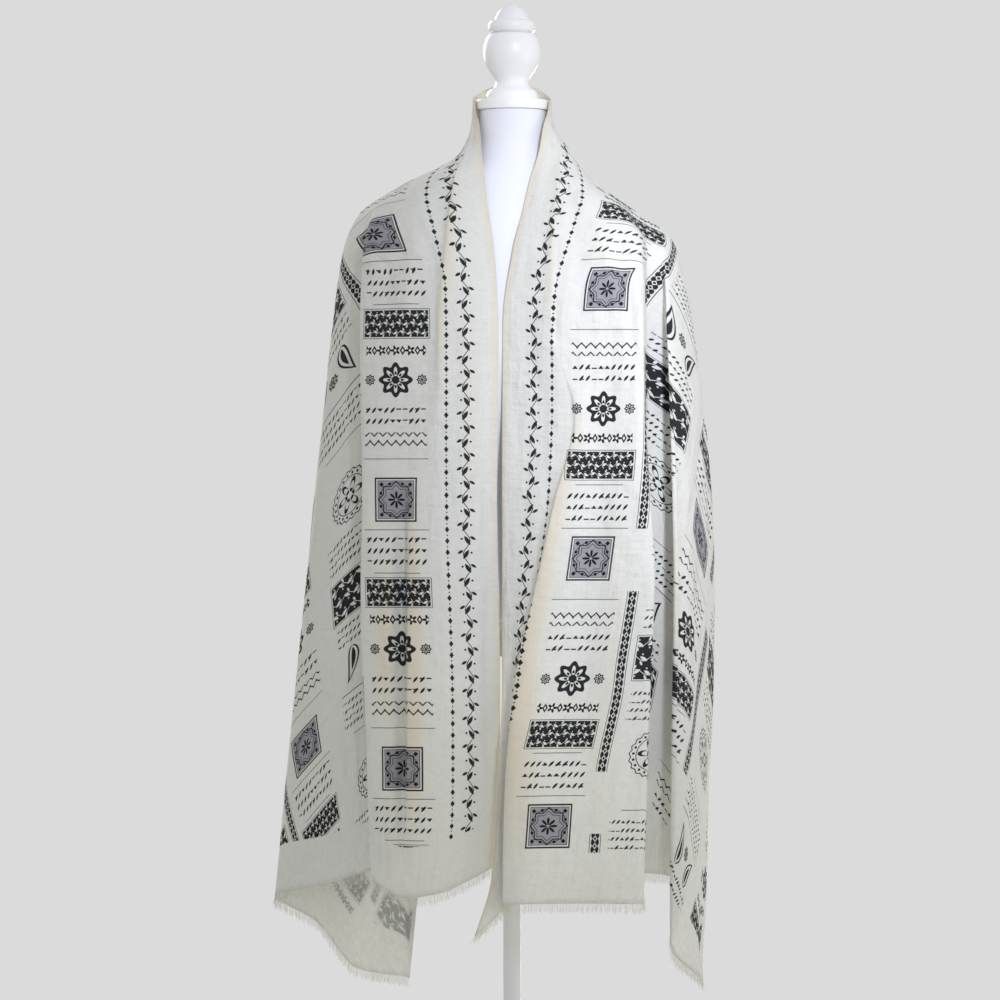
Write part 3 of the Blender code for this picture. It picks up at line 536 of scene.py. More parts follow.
def rim_faces(index, shift):
    """Faces from the border of a grid to the border of its reverse, whose points come shift later."""
    border = np.concatenate([index[0, :-1], index[:-1, -1], index[-1, :0:-1], index[:0:-1, 0]])
    after = np.roll(border, -1)
    return np.stack([border, after, after + shift, border + shift], 1)


def add_values(mesh, name, values):
    attribute = mesh.attributes.new(name, "FLOAT", "POINT")
    attribute.data.foreach_set("value", np.asarray(values, dtype=np.float32))


BARE_HEM = 0.062            # cloth without print above each frayed end
BARE_SELVEDGE = 0.030       # and beside the outer selvedge
BARE_BLEND = 9              # columns over which the first becomes the second
RIDGE_FULL_SHADE = 0.0060         # a ridge pushed out this far has all of its painted warm shade


def build_shawl(finish):
    """The whole cloth as one thin shell, with its flat places as a UV map in metres."""
    left, left_push, left_hem = drape_half(LEFT, LEFT_CREASES)
    right, right_push, right_hem = drape_half(RIGHT, RIGHT_CREASES)
    rows = np.concatenate([left, right[:, -2::-1]], axis=1)
    push = np.concatenate([left_push, right_push[:, -2::-1]], axis=1)
    spine = left.shape[1] - 1
    end = rows.shape[1] - 1
    front_columns = sum(line.columns for line in LINES[:NAMES.index("fold")])
    flat = flat_places(rows, spine, (front_columns, end - front_columns))
    middle = clear_of_form(rows + outward(rows) * push[..., None])
    normals = outward(middle)

    height, width = middle.shape[:2]
    points = np.concatenate([(middle + normals * SHELL / 2).reshape(-1, 3),
                             (middle - normals * SHELL / 2).reshape(-1, 3)])
    index = np.arange(height * width).reshape(height, width)
    front, back = cells(index), cells(index + height * width)[:, ::-1]
    rim = rim_faces(index, height * width)
    shawl = mesh_object("shawl", points, np.concatenate([front, back, rim]).tolist(), finish)
    mesh = shawl.data

    places = np.tile(np.stack([flat.real.ravel(), flat.imag.ravel()], 1), (2, 1))
    corner_points = np.empty(len(mesh.loops), dtype=np.int32)
    mesh.loops.foreach_get("vertex_index", corner_points)
    laid = mesh.uv_layers.new(name="laid_flat")
    laid.uv.foreach_set("vector", places[corner_points].astype(np.float32).ravel())

    column = np.arange(width)
    on_hem = (column <= left_hem) | (column >= end - right_hem)
    bare = np.where(on_hem, BARE_HEM, BARE_SELVEDGE)
    bare = np.convolve(np.pad(bare, BARE_BLEND // 2, mode="edge"), np.ones(BARE_BLEND) / BARE_BLEND, "valid")
    from_foot = run_length(middle[::-1])[::-1] - bare
    add_values(mesh, "printed", np.tile(from_foot.ravel(), 2))
    add_values(mesh, "reverse", np.repeat([0.0, 1.0], height * width))
    # How much painted warm shade each point takes, from how far its creases push it out.
    add_values(mesh, "ridge", np.tile(np.clip(push / RIDGE_FULL_SHADE, 0, 1).ravel() ** 2, 2))

    fall = middle[-1] - middle[-3]
    fall /= np.linalg.norm(fall, axis=1, keepdims=True)
    ends = [(middle[-1, :left_hem + 1], fall[:left_hem + 1]),
            (middle[-1, end - right_hem:], fall[end - right_hem:])]
    return shawl, ends


def ring_solid(name, rings, finish, corner_angle=None):
    """A closed mesh through level rings of points, top to bottom, whose first and last rings are filled."""
    height, width = rings.shape[:2]
    index = np.arange(height * width).reshape(height, width)
    index = np.concatenate([index, index[:, :1]], axis=1)
    faces = cells(index).tolist() + [index[0, :-1].tolist(), index[-1, -2::-1].tolist()]
    made = mesh_object(name, rings.reshape(-1, 3), faces, finish)
    if corner_angle is not None:
        made.data.set_sharp_from_angle(angle=corner_angle)
    return made


# --- the dress form and its stand --------------------------------------------------------------------
FORM_SEGMENTS = 128
FORM_ROWS = 150
FORM_CORNER = radians(50)   # edges that turn by more than this look sharp
TURNED_CORNER = radians(38)
TURNED_SEGMENTS = 96
TURNED_STEP = 0.0008        # largest step down a turned outline
LEAST_RADIUS = 0.0006       # of the ring at the finial's tip
CORNER_STEPS = 6            # points round each rounded corner of an outline
CAP_ROUNDING = 0.0018
SOCKET_ROUNDING = 0.0020
BASE_ROUNDING = 0.0040
EDGE_LIP = 0.0040           # flat ring inside the rounded edges of the cap and the base
POLE_LIP = 0.0010
SOCKET_TOP = ((0.032, 0.000), (0.034, 0.000), (0.034, 0.006), (0.020, 0.012))
SOCKET_FOOT = (0.0175, 0.0150)
BOSS_TOP = (0.016, 0.022)   # radii of the flat top of the base's boss
BOSS_FOOT = 0.027
PLATE_HEIGHT = 0.020        # of the base's plate beside the boss
PLATE_BORDER = 0.040        # width of its sloping border, which drops by the plate's fall to the rim
PLATE_FALL = 0.004
RIM_HEIGHT = 0.008


def build_form(finish):
    """The covered torso, with its neck filled level under the cap."""
    heights = np.linspace(NECK_TOP, TORSO_BOTTOM, FORM_ROWS)
    sizes, _ = torso_at(heights)
    angle = np.linspace(0, 2 * pi, FORM_SEGMENTS, endpoint=False)
    across = sizes[:, :1] * np.cos(angle)
    deep = np.where(np.sin(angle) > 0, sizes[:, 2:], sizes[:, 1:2]) * np.sin(angle)
    rings = np.stack([across, deep, np.broadcast_to(heights[:, None], across.shape)], -1)
    return ring_solid("dress_form", rings, finish, FORM_CORNER)


def rings_about_z(outline, segments):
    """Level rings of points through an outline of (radius, height)."""
    outline = np.array(outline)
    angle = np.linspace(0, 2 * pi, segments, endpoint=False)
    across, deep = outline[:, :1] * np.cos(angle), outline[:, :1] * np.sin(angle)
    return np.stack([across, deep, np.broadcast_to(outline[:, 1:], across.shape)], -1)


def turned(name, outline, finish):
    """A turned solid about Z from an outline of (radius, height), top to bottom."""
    return ring_solid(name, rings_about_z(outline, TURNED_SEGMENTS), finish, TURNED_CORNER)


def curved_outline(stretches, top):
    """Close points down stretches of an outline, each of which is one smooth curve."""
    outline = []
    for part in stretches:
        points = np.array([(radius, top - below) for radius, below in part])
        run = run_length(points)
        at = np.linspace(0, run[-1], int(run[-1] / TURNED_STEP) + 2)
        outline += round_curve(run, points, at).tolist()[bool(outline):]
    return outline


def rounded(outline, radius, corners):
    """The outline with its listed corners rounded by small arcs."""
    made = []
    for index, point in enumerate(outline):
        point = np.array(point)
        if index not in corners:
            made.append(tuple(point))
            continue
        before, after = np.array(outline[index - 1]) - point, np.array(outline[index + 1]) - point
        lengths = np.linalg.norm(before), np.linalg.norm(after)
        reach = min(radius, 0.45 * min(lengths))
        start, end = point + reach * before / lengths[0], point + reach * after / lengths[1]
        for t in np.linspace(0, 1, CORNER_STEPS):
            made.append(tuple((1 - t)**2 * start + 2 * t * (1 - t) * point + t**2 * end))
    return made


def build_stand(paint, metal):
    """The turned pieces, each in the place and size of its solid in the frame."""
    cap_low, cap_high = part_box("neck_cap")
    radius, lip = cap_high.x, cap_high.x - EDGE_LIP
    cap = [(lip, cap_high.z), (radius, cap_high.z), (radius, cap_low.z), (lip, cap_low.z)]
    pieces = {"neck_cap": turned("neck_cap_turned", rounded(cap, CAP_ROUNDING, (1, 2)), paint)}

    finial_low, finial_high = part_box("finial")
    outline = curved_outline(FINIAL, finial_high.z)
    outline = [(max(radius, LEAST_RADIUS), z) for radius, z in outline]
    outline.append((FINIAL[-1][-1][0], finial_low.z))
    pieces["finial"] = turned("finial_turned", outline, paint)

    low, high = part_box("pole_socket")
    socket = [(radius, high.z - below) for radius, below in SOCKET_TOP]
    socket += [(radius, low.z) for radius in SOCKET_FOOT]
    pieces["pole_socket"] = turned("pole_socket_turned", rounded(socket, SOCKET_ROUNDING, range(1, 5)), metal)
    low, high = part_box("pole")
    lip = high.x - POLE_LIP
    pole = [(lip, high.z), (high.x, high.z), (high.x, low.z), (lip, low.z)]
    pieces["pole"] = turned("pole_turned", pole, metal)
    low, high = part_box("base")
    base = [(radius, high.z) for radius in BOSS_TOP]
    base += [(BOSS_FOOT, PLATE_HEIGHT), (high.x - PLATE_BORDER, PLATE_HEIGHT - PLATE_FALL),
             (high.x, RIM_HEIGHT), (high.x, 0.0), (high.x - EDGE_LIP, 0.0)]
    pieces["base"] = turned("base_turned", rounded(base, BASE_ROUNDING, range(1, 6)), metal)
    return pieces


# --- node trees --------------------------------------------------------------------------------------
class Tree:
    """A node tree under construction. One call adds a node, with its settings first and then its sockets. A
    node given for a socket stands for its first output."""

    def __init__(self, tree, prefix):
        self.tree, self.prefix = tree, prefix

    def node(self, kind, settings=None, sockets=None):
        whole_name = kind.startswith(("Function", "Shader", "Node"))
        made = self.tree.nodes.new(kind if whole_name else self.prefix + kind)
        for key, value in (settings or {}).items():
            setattr(made, key, value)
        for key, value in (sockets or {}).items():
            value = value.socket if isinstance(value, Value) else value
            value = value.outputs[0] if isinstance(value, bpy.types.Node) else value
            if isinstance(value, bpy.types.NodeSocket):
                self.tree.links.new(value, made.inputs[key])
            else:
                made.inputs[key].default_value = value
        return made

    def value(self, kind, settings=None, sockets=None, output=0):
        return Value(self, self.node(kind, settings, sockets).outputs[output])


class Value:
    """A number at every point of a surface; arithmetic on it adds Math nodes."""

    def __init__(self, tree, socket):
        self.tree, self.socket = tree, socket

    def math(self, operation, *others, clamp=False):
        sockets = dict(enumerate((self, *others)))
        return self.tree.value("ShaderNodeMath", {"operation": operation, "use_clamp": clamp}, sockets)

    def __rsub__(self, other):
        return self.tree.value("ShaderNodeMath", {"operation": "SUBTRACT"}, {0: other, 1: self})

    __add__ = __radd__ = partialmethod(math, "ADD")
    __sub__ = partialmethod(math, "SUBTRACT")
    __mul__ = __rmul__ = partialmethod(math, "MULTIPLY")
    __truediv__ = partialmethod(math, "DIVIDE")
    __mod__ = partialmethod(math, "FLOORED_MODULO")
    __abs__ = partialmethod(math, "ABSOLUTE")
    least = partialmethod(math, "MINIMUM")
    most = partialmethod(math, "MAXIMUM")
    cosine = partialmethod(math, "COSINE")
    sine = partialmethod(math, "SINE")
    floor = partialmethod(math, "FLOOR")


# --- frayed ends, by geometry nodes ------------------------------------------------------------------
THREAD_SPACING = 0.00062
THREAD_THICKNESS = 0.00036
THREAD_SPLAY = 0.20         # how far, in radians, a thread may lean from the cloth's fall


def frayed_end_tree():
    """Threads that hang from a line of edges, which carries the cloth's fall as an attribute."""
    group = bpy.data.node_groups.new("frayed_end", "GeometryNodeTree")
    sockets = (("Geometry", "Geometry", None), ("Spacing", "Float", THREAD_SPACING),
               ("Length", "Float", FRINGE), ("Thickness", "Float", THREAD_THICKNESS),
               ("Splay", "Float", THREAD_SPLAY), ("Seed", "Int", 5), ("Thread", "Material", None))
    for name, kind, value in sockets:
        made = group.interface.new_socket(name, in_out="INPUT", socket_type="NodeSocket" + kind)
        if value is not None:
            made.default_value = value
    group.interface.new_socket("Geometry", in_out="OUTPUT", socket_type="NodeSocketGeometry")
    tree = Tree(group, "GeometryNode")
    given = tree.node("NodeGroupInput").outputs

    straight = tree.node("CurvePrimitiveLine", sockets={"Start": (0, 0, -0.08), "End": (0, 0, 1)})
    jointed = tree.node("ResampleCurve", {"mode": "COUNT"}, {"Curve": straight, "Count": 5})
    position = tree.node("InputPosition")
    down = tree.value("ShaderNodeSeparateXYZ", sockets={"Vector": position}, output="Z")
    bow = tree.node("ShaderNodeCombineXYZ",
                    sockets={"X": down * down * 0.20, "Y": (down * 4.0).sine() * 0.05})
    bowed = tree.node("SetPosition", sockets={"Geometry": jointed, "Offset": bow})
    radius = Value(tree, given["Thickness"]) / Value(tree, given["Length"]) * 0.5
    section = tree.node("CurvePrimitiveCircle", {"mode": "RADIUS"}, {"Resolution": 3, "Radius": radius})
    thread = tree.node("CurveToMesh", sockets={"Curve": bowed, "Profile Curve": section, "Fill Caps": True})

    line = tree.node("MeshToCurve", sockets={"Mesh": given["Geometry"]})
    roots = tree.node("ResampleCurve", {"mode": "LENGTH"}, {"Curve": line, "Length": given["Spacing"]})
    fall = tree.node("InputNamedAttribute", {"data_type": "FLOAT_VECTOR"}, {"Name": "fall"})
    hanging = tree.node("FunctionNodeAlignRotationToVector", {"axis": "Z"}, {"Vector": fall})
    lean = tree.node("ShaderNodeCombineXYZ", sockets={"X": given["Splay"], "Y": given["Splay"], "Z": pi})
    back = tree.node("ShaderNodeVectorMath", {"operation": "SCALE"}, {"Vector": lean, "Scale": -1.0})
    turn = tree.node("FunctionNodeRandomValue", {"data_type": "FLOAT_VECTOR"},
                     {"Min": back, "Max": lean, "Seed": given["Seed"]})
    turned_by = tree.node("FunctionNodeEulerToRotation", sockets={"Euler": turn})
    leaning = tree.node("FunctionNodeRotateRotation", {"rotation_space": "LOCAL"},
                        {"Rotation": hanging, "Rotate By": turned_by})
    share = tree.node("FunctionNodeRandomValue", {"data_type": "FLOAT"})
    length = tree.value("ShaderNodeMath", {"operation": "MULTIPLY"}, {1: given["Length"]})
    low, high = (socket for socket in share.inputs if socket.enabled and socket.name in ("Min", "Max"))
    low.default_value, high.default_value = 0.62, 1.0
    group.links.new(share.outputs[1], length.socket.node.inputs[0])
    threads = tree.node("InstanceOnPoints", sockets={"Points": roots, "Instance": thread,
                                                     "Rotation": leaning, "Scale": length})
    real = tree.node("RealizeInstances", sockets={"Geometry": threads})
    finished = tree.node("SetMaterial", sockets={"Geometry": real, "Material": given["Thread"]})
    tree.node("NodeGroupOutput", sockets={"Geometry": finished})
    return group


def build_frayed_end(name, tree, points, fall, finish):
    """The frayed threads along one short side of the cloth, as a plain mesh."""
    mesh = bpy.data.meshes.new(name + "_line")
    mesh.from_pydata(points.tolist(), [(k, k + 1) for k in range(len(points) - 1)], [])
    attribute = mesh.attributes.new("fall", "FLOAT_VECTOR", "POINT")
    attribute.data.foreach_set("vector", fall.astype(np.float32).ravel())
    line = in_scene(name + "_line", mesh)
    fray = line.modifiers.new("fray", "NODES")
    fray.node_group = tree
    inputs = {item.name: item.identifier for item in tree.interface.items_tree if item.in_out == "INPUT"}
    fray[inputs["Thread"]] = finish
    evaluated = line.evaluated_get(bpy.context.evaluated_depsgraph_get())
    threads = bpy.data.meshes.new_from_object(evaluated)
    bpy.data.objects.remove(line)
    threads.name = name
    return in_scene(name, threads)


# --- finishes ----------------------------------------------------------------------------------------
CREAM = (0.848, 0.844, 0.800)
CREAM_THIN = (0.925, 0.922, 0.885)
# darker cream for the painted shade of small crinkles
CREAM_SHADED = (0.800, 0.785, 0.720)
# Warm cream painted where the cloth turns: painted warm shade, as of light coming through the rolled inner
# selvedge and the ridges.
WARM_SHADE_CREAM = (0.860, 0.790, 0.640)
INK = (0.006, 0.009, 0.012)
TILE_GREY = (0.250, 0.235, 0.300)
SHOW_THROUGH = 0.32         # how strongly the print shows on the cloth's reverse
INK_EDGE = 0.00045          # softness of a printed edge, in metres
TRANSLUCENCY = 0.30
WEAVE_DEPTH = 0.0006        # relief of the weave, and of the finer crinkles, in metres
RUMPLE_DEPTH = 0.0060
THREAD_PALE, THREAD_DARK = (0.93, 0.91, 0.82), (0.74, 0.70, 0.58)
JERSEY_PALE, JERSEY_DARK = (0.860, 0.870, 0.940), (0.835, 0.845, 0.915)
JERSEY_RIBS = 220.0         # upright ribs round the form
JERSEY_ROWS = 3600.0        # level rows of the knit, as radians to a metre
SELVEDGE_SHADE_WIDTH = 0.012      # how far in from the inner selvedge its painted warm shade fades away


def new_finish(name):
    """A material with an empty tree, and that tree."""
    made = bpy.data.materials.new(name)
    made.use_nodes = True
    made.node_tree.nodes.clear()
    return made, Tree(made.node_tree, "ShaderNode")


def finish_tree(tree, sockets):
    """Ends a material's tree in one plain shader."""
    shader = tree.node("BsdfPrincipled", sockets=sockets)
    tree.node("OutputMaterial", sockets={"Surface": shader})


def blended(tree, factor, first, second):
    """A colour socket between two colours."""
    made = tree.node("Mix", {"data_type": "RGBA"}, {0: factor, 6: first, 7: second})
    return made.outputs[2]


def colour(values):
    return (*values, 1.0)


def noise(tree, place, scale, detail=2.0, stretch=(1, 1, 1)):
    stretched = tree.node("VectorMath", {"operation": "MULTIPLY"}, {0: place, 1: stretch})
    return tree.value("TexNoise", sockets={"Vector": stretched, "Scale": scale, "Detail": detail})


# --- the print: plain ornaments in ink, each a mask from 0 to 1 ----------------------------------------
def inked(inside):
    """1 where a depth inside a shape, in metres, is over zero."""
    return inside.math("MULTIPLY_ADD", 1 / INK_EDGE, 0.5, clamp=True)


def drawn(distance, width):
    """A line of a width where a distance is zero."""
    return inked(width / 2 - abs(distance))


def together(first, *others):
    """The ink of several masks."""
    for other in others:
        first = first.most(other)
    return first


def every(place, period):
    """Signed distance to the nearest multiple of a period."""
    return (place + period / 2) % period - period / 2


def within(x, y, half_x, half_y):
    return inked((half_x - abs(x)).least(half_y - abs(y)))


def from_centre(x, y):
    return (x * x + y * y).math("SQRT")


def round_angle(x, y):
    return y.math("ARCTAN2", x)


def leaf(x, y, length, width, lean):
    """A pointed leaf about the origin, leaning from the X axis."""
    along = x * cos(lean) + y * sin(lean)
    across = y * cos(lean) - x * sin(lean)
    share = along / (length / 2)
    return inked((1 - share * share) * (width / 2) - abs(across))


def vine(x, along):
    """A waving stem with a leaf in each bend and a bud between."""
    pitch = 0.034
    turn = along * (2 * pi / pitch)
    stem = drawn(x - turn.sine() * 0.0042, 0.0012)
    outer = x * turn.sine().math("SIGN")
    step = every(along - pitch / 4, pitch / 2)
    large = leaf(outer - 0.0010, step, 0.0135, 0.0048, 1.0)
    small = leaf(outer - 0.0078, step + 0.003, 0.0085, 0.0034, 0.5)
    bud = inked(0.0013 - from_centre(outer + 0.0058, step + 0.002))
    return together(stem, large, small, bud)


def bead_row(x, along):
    """Small diamonds and dots in turn."""
    step = every(along, 0.0140)
    diamonds = inked(0.0028 - (abs(x) + abs(step) * 0.7))
    dots = inked(0.0009 - from_centre(x, every(along - 0.0070, 0.0140)))
    return diamonds.most(dots)


def seed_rows(x, y, half_x, lines, pitch):
    """Rows of small leaves, dots and ticks, mixed by chance. The rows' height sets the size of the marks."""
    column_pitch = 0.58 * pitch
    y = y + pitch * lines / 2
    cell = x.tree.node("CombineXYZ", sockets={"X": (x / column_pitch).floor(), "Y": (y / pitch).floor()})
    chance = x.tree.value("TexWhiteNoise", {"noise_dimensions": "2D"}, {"Vector": cell})
    step_x = x % column_pitch - column_pitch / 2
    step_y = y % pitch - pitch / 2
    leaves = leaf(step_x, step_y, 0.70 * pitch, 0.22 * pitch, 0.9) * chance.math("GREATER_THAN", 0.42)
    dots = inked(0.12 * pitch - from_centre(step_x, step_y)) * chance.math("LESS_THAN", 0.30)
    ticks = within(step_x, step_y + 0.10 * pitch, 0.22 * pitch, 0.06 * pitch) * chance.math("LESS_THAN", 0.56)
    middle = abs(y - pitch * lines / 2)
    return together(leaves, dots, ticks) * inked((half_x - abs(x)).least(pitch * lines / 2 - middle))


def garland(x, y, half_x):
    """A row of blossoms and lozenges in turn."""
    pitch = 0.0182
    step = every(x, pitch)
    r, angle = from_centre(step, y), round_angle(step, y)
    blossom = inked(0.0046 + (angle * 5.0).cosine() * 0.0018 - r) * inked(r - 0.0016)
    between = every(x - pitch / 2, pitch)
    size = abs(between) + abs(y) * 0.6
    lozenge = inked(0.0036 - size) * (1 - inked(0.0016 - size))
    return blossom.most(lozenge) * within(x, y, half_x, 0.010)


def star_tile(x, y):
    """A framed square with an eight-pointed star and a rosette, and the mask of its tinted ground."""
    side_x, side_y = abs(x), abs(y)
    square = side_x.most(side_y)
    star = square.least((side_x + side_y) * 0.7071)
    r, angle = from_centre(x, y), round_angle(x, y)
    petals = inked(abs((angle * 4.0).cosine()) * 0.0105 - r)
    ink = together(
        drawn(square - 0.0262, 0.0020), drawn(square - 0.0232, 0.0007),
        drawn(star - 0.0160, 0.0014), drawn(star - 0.0128, 0.0007), petals, drawn(r - 0.0212, 0.0008),
        inked(0.0030 - (abs(side_x - 0.0185) + abs(side_y - 0.0185))),
        inked(0.0019 - from_centre(side_x - 0.0193, side_y - 0.0080)),
        inked(0.0019 - from_centre(side_x - 0.0080, side_y - 0.0193)))
    return ink * (1 - inked(0.0018 - r)), inked(0.0232 - square)


VINE_REACH = 0.0215         # how far a vine and its leaves reach from side to side


def leafy_block(x, y, half_x, half_y, pitch):
    """A dark block with rows of pale vine, inside a thin line."""
    finer = VINE_REACH / pitch
    pale = vine(every(y, pitch) * finer, (x + (y / pitch + 0.5).floor() * (pitch * 0.4)) * finer)
    ground = within(x, y, half_x, half_y)
    border = drawn((abs(x) - half_x - 0.0018).most(abs(y) - half_y - 0.0018), 0.0007)
    return (ground * (1 - pale)).most(border)


def flower(x, y, radius):
    """A scalloped flower with pale petals."""
    r, angle = from_centre(x, y), round_angle(x, y)
    scallops = inked(radius * 0.86 + (angle * 8.0).cosine() * (radius * 0.12) - r)
    lobes = abs((angle * 4.0).cosine())
    petals = inked(lobes * (radius * 0.72) - r) * inked(r - radius * 0.22)
    veins = inked(lobes * (radius * 0.48) - r) * inked(r - radius * 0.30)
    return (scallops * (1 - petals)).most(veins)


def medallion(x, y):
    """Rings, beads and a star of petals."""
    r, angle = from_centre(x, y), round_angle(x, y)
    round_step = every(angle, 2 * pi / 20) * r
    petals = inked(abs((angle * 3.0).cosine()) * 0.0200 - r) * inked(r - 0.0040)
    hollow = inked(abs((angle * 3.0).cosine()) * 0.0150 - r) * inked(r - 0.0075)
    return together(drawn(r - 0.0290 - (angle * 20.0).cosine() * 0.0010, 0.0014),
                    inked(0.0016 - from_centre(round_step, r - 0.0250)),
                    drawn(r - 0.0215, 0.0010), petals * (1 - hollow))


def chevrons(x, y, half_x):
    """Two rows of chevrons with dots between them."""
    ramp = x.math("PINGPONG", 0.0055)
    rows = drawn(every(y - ramp, 0.0115), 0.0022)
    dots = inked(0.0011 - from_centre(every(x, 0.0110), abs(y) - 0.0005))
    return (rows * within(x, y, half_x, 0.0105)).most(dots * within(x, y, half_x, 0.004))


def rule(x, y, half_x, width=0.0008):
    return within(x, y, half_x, width / 2)


def paisley(x, y, size):
    """A curved drop with a dotted inner drop."""
    bent = x - (y + size * 0.5) * (y + size * 0.5) * (0.35 / size)
    share = (y + size * 0.45) / size
    half_width = (1 - share) * (share + 0.35).math("MAXIMUM", 0.0).math("SQRT") * (size * 0.42)
    body = half_width - abs(bent)
    return inked(body) * (1 - inked(body - size * 0.07)) + inked(body - size * 0.16)


VINE_PLACE = 0.042          # from the inner selvedge to the vine, and to the row of beads beside it
BEADS_PLACE = 0.066
COLUMNS_START = 0.077       # from the inner selvedge to the first wide column
COLUMNS_REPEAT = 0.236      # across the cloth from one pair of columns to the next
COLUMNS_SHIFT = 0.143       # along the cloth from one pair to the next
# What the two columns of a pair hold, down the cloth: each ornament, its place and its sizes.
STACK_REPEAT = 0.330
STACK = (
    (rule, 0.0690, 0.042),
    (seed_rows, 0.0948, 0.0386, 3, 0.0136),
    (rule, 0.1220, 0.030),
    (leafy_block, 0.1460, 0.0410, 0.0165, 0.0110),
    (garland, 0.1790, 0.0380),
    (flower, 0.2150, 0.0220),
    (seed_rows, 0.2590, 0.0386, 2, 0.0136),
    (chevrons, 0.2900, 0.0400),
    (rule, 0.3120, 0.042),
)
SIDE_REPEAT = 0.372
SIDE = (
    (medallion, 0.0400),
    (seed_rows, 0.1001, 0.0442, 4, 0.0104),
    (leafy_block, 0.1590, 0.0440, 0.0260, 0.0174),
    (seed_rows, 0.2081, 0.0416, 3, 0.0104),
    (flower, 0.2540, 0.0085),
    (rule, 0.2850, 0.044, 0.0012),
    (seed_rows, 0.3121, 0.0442, 4, 0.0104),
    (rule, 0.3420, 0.030),
)


def column_of(ornaments, x, y):
    """The ink of a column of ornaments."""
    return together(*(mark(x, y - place, *sizes) for mark, place, *sizes in ornaments))


def print_on(across, along):
    """The whole print: the mask of the ink, and the mask of the grey grounds."""
    inner = vine(across - VINE_PLACE, along).most(bead_row(across - BEADS_PLACE, along))
    pair = ((across - COLUMNS_START) / COLUMNS_REPEAT).floor()
    x = across - COLUMNS_START - pair * COLUMNS_REPEAT
    along = along + pair * COLUMNS_SHIFT

    stack_x, y = x - 0.053, (along + 0.0705) % STACK_REPEAT
    tile, ground = star_tile(stack_x, y - 0.032)
    stack = together(tile, column_of(STACK, stack_x, y), flower(abs(stack_x) - 0.033, y - 0.2150, 0.0070))
    side_x, y = x - 0.172, (along + 0.235) % SIDE_REPEAT
    side = column_of(SIDE, side_x, y).most(paisley(abs(side_x) - 0.020, y - 0.2540, 0.034))

    ink = inner.most(stack.most(side) * inked(across - COLUMNS_START))
    lattice_x = x - 0.1115
    lattice = abs((abs(every(lattice_x, 0.0060)) + abs(every(along, 0.0090)) * 0.66) - 0.0022)
    step = every(along - 0.05, 0.30)
    band = within(lattice_x, step, 0.0048, 0.112) * inked(lattice - 0.0006)
    sides = drawn(abs(lattice_x) - 0.0066, 0.0007) * within(lattice_x, step, 0.010, 0.112)
    ink = ink.most(band.most(sides) * inked(across - COLUMNS_START))
    return ink, ground * inked(across - COLUMNS_START)


def cloth_finish():
    """Cream slubbed cloth, printed in blue-black ink, a little lighter on its reverse, with a painted warm
    shade along the inner selvedge and the pushed-out ridges, and painted shade of soft crinkles.
    """
    made, tree = new_finish("printed_cloth")
    laid = tree.node("UVMap", {"uv_map": "laid_flat"})
    parts = tree.node("SeparateXYZ", sockets={"Vector": laid})
    across, along = Value(tree, parts.outputs["X"]), Value(tree, parts.outputs["Y"])
    reverse = tree.value("Attribute", {"attribute_name": "reverse"}, output="Fac")
    printed = tree.value("Attribute", {"attribute_name": "printed"}, output="Fac")

    slub = noise(tree, laid, 1.0, 3.0, (680, 80, 1)) + noise(tree, laid, 1.0, 3.0, (80, 680, 1))
    crinkle_shade = noise(tree, laid, 22.0, 3.0)
    ink, ground = print_on(across, along)
    wear = 0.92 + 0.12 * noise(tree, laid, 700.0, 2.0)
    strength = inked(printed) * (1 - reverse * (1 - SHOW_THROUGH))
    shown = (slub - 0.72).math("MULTIPLY", 1.7, clamp=True)
    cloth = blended(tree, shown, colour(CREAM), colour(CREAM_THIN))
    # Soft cloudy patches painted darker: painted shade of the cloth's small crinkles.
    cloth = blended(tree, (crinkle_shade - 0.35) * 0.30, cloth, colour(CREAM_SHADED))
    # A painted warm shade along the inner selvedge, where the edge rolls back.
    selvedge_shade = (across * (-1 / SELVEDGE_SHADE_WIDTH) + 1).math("MULTIPLY", 0.8, clamp=True)
    cloth = blended(tree, selvedge_shade, cloth, colour(WARM_SHADE_CREAM))
    # Painted warm shade on the pushed-out ridges, as of light coming through the folded cloth.
    ridge = tree.value("Attribute", {"attribute_name": "ridge"}, output="Fac")
    cloth = blended(tree, ridge * 0.75, cloth, colour(WARM_SHADE_CREAM))
    tinted = blended(tree, ground * strength * 0.72, cloth, colour(TILE_GREY))
    base = blended(tree, (ink * strength * wear).math("MINIMUM", 0.97), tinted, colour(INK))

    threads = tree.node("Bump", sockets={"Strength": 0.50, "Distance": WEAVE_DEPTH, "Height": slub})
    rumple = noise(tree, laid, 38.0, 3.0) + noise(tree, laid, 1.0, 2.0, (60, 9, 1)) * 0.9
    rumple = rumple + noise(tree, laid, 1.0, 2.0, (26, 110, 1)) * 0.35
    rumpled = tree.node("Bump", sockets={"Strength": 0.70, "Distance": RUMPLE_DEPTH, "Height": rumple,
                                         "Normal": threads})
    shader = tree.node("BsdfPrincipled", sockets={
        "Base Color": base, "Roughness": 0.86, "Normal": rumpled, "Sheen Weight": 0.05,
        "Sheen Roughness": 0.5, "Specular IOR Level": 0.15})
    glow = tree.node("BsdfTranslucent", sockets={"Color": base, "Normal": rumpled})
    both = tree.node("MixShader", sockets={0: TRANSLUCENCY, 1: shader, 2: glow})
    tree.node("OutputMaterial", sockets={"Surface": both})
    return made


def thread_finish():
    made, tree = new_finish("frayed_threads")
    place = tree.node("TexCoord").outputs["Object"]
    mottle = noise(tree, place, 260.0, 2.0)
    base = blended(tree, mottle, colour(THREAD_DARK), colour(THREAD_PALE))
    finish_tree(tree, {"Base Color": base, "Roughness": 0.85})
    return made


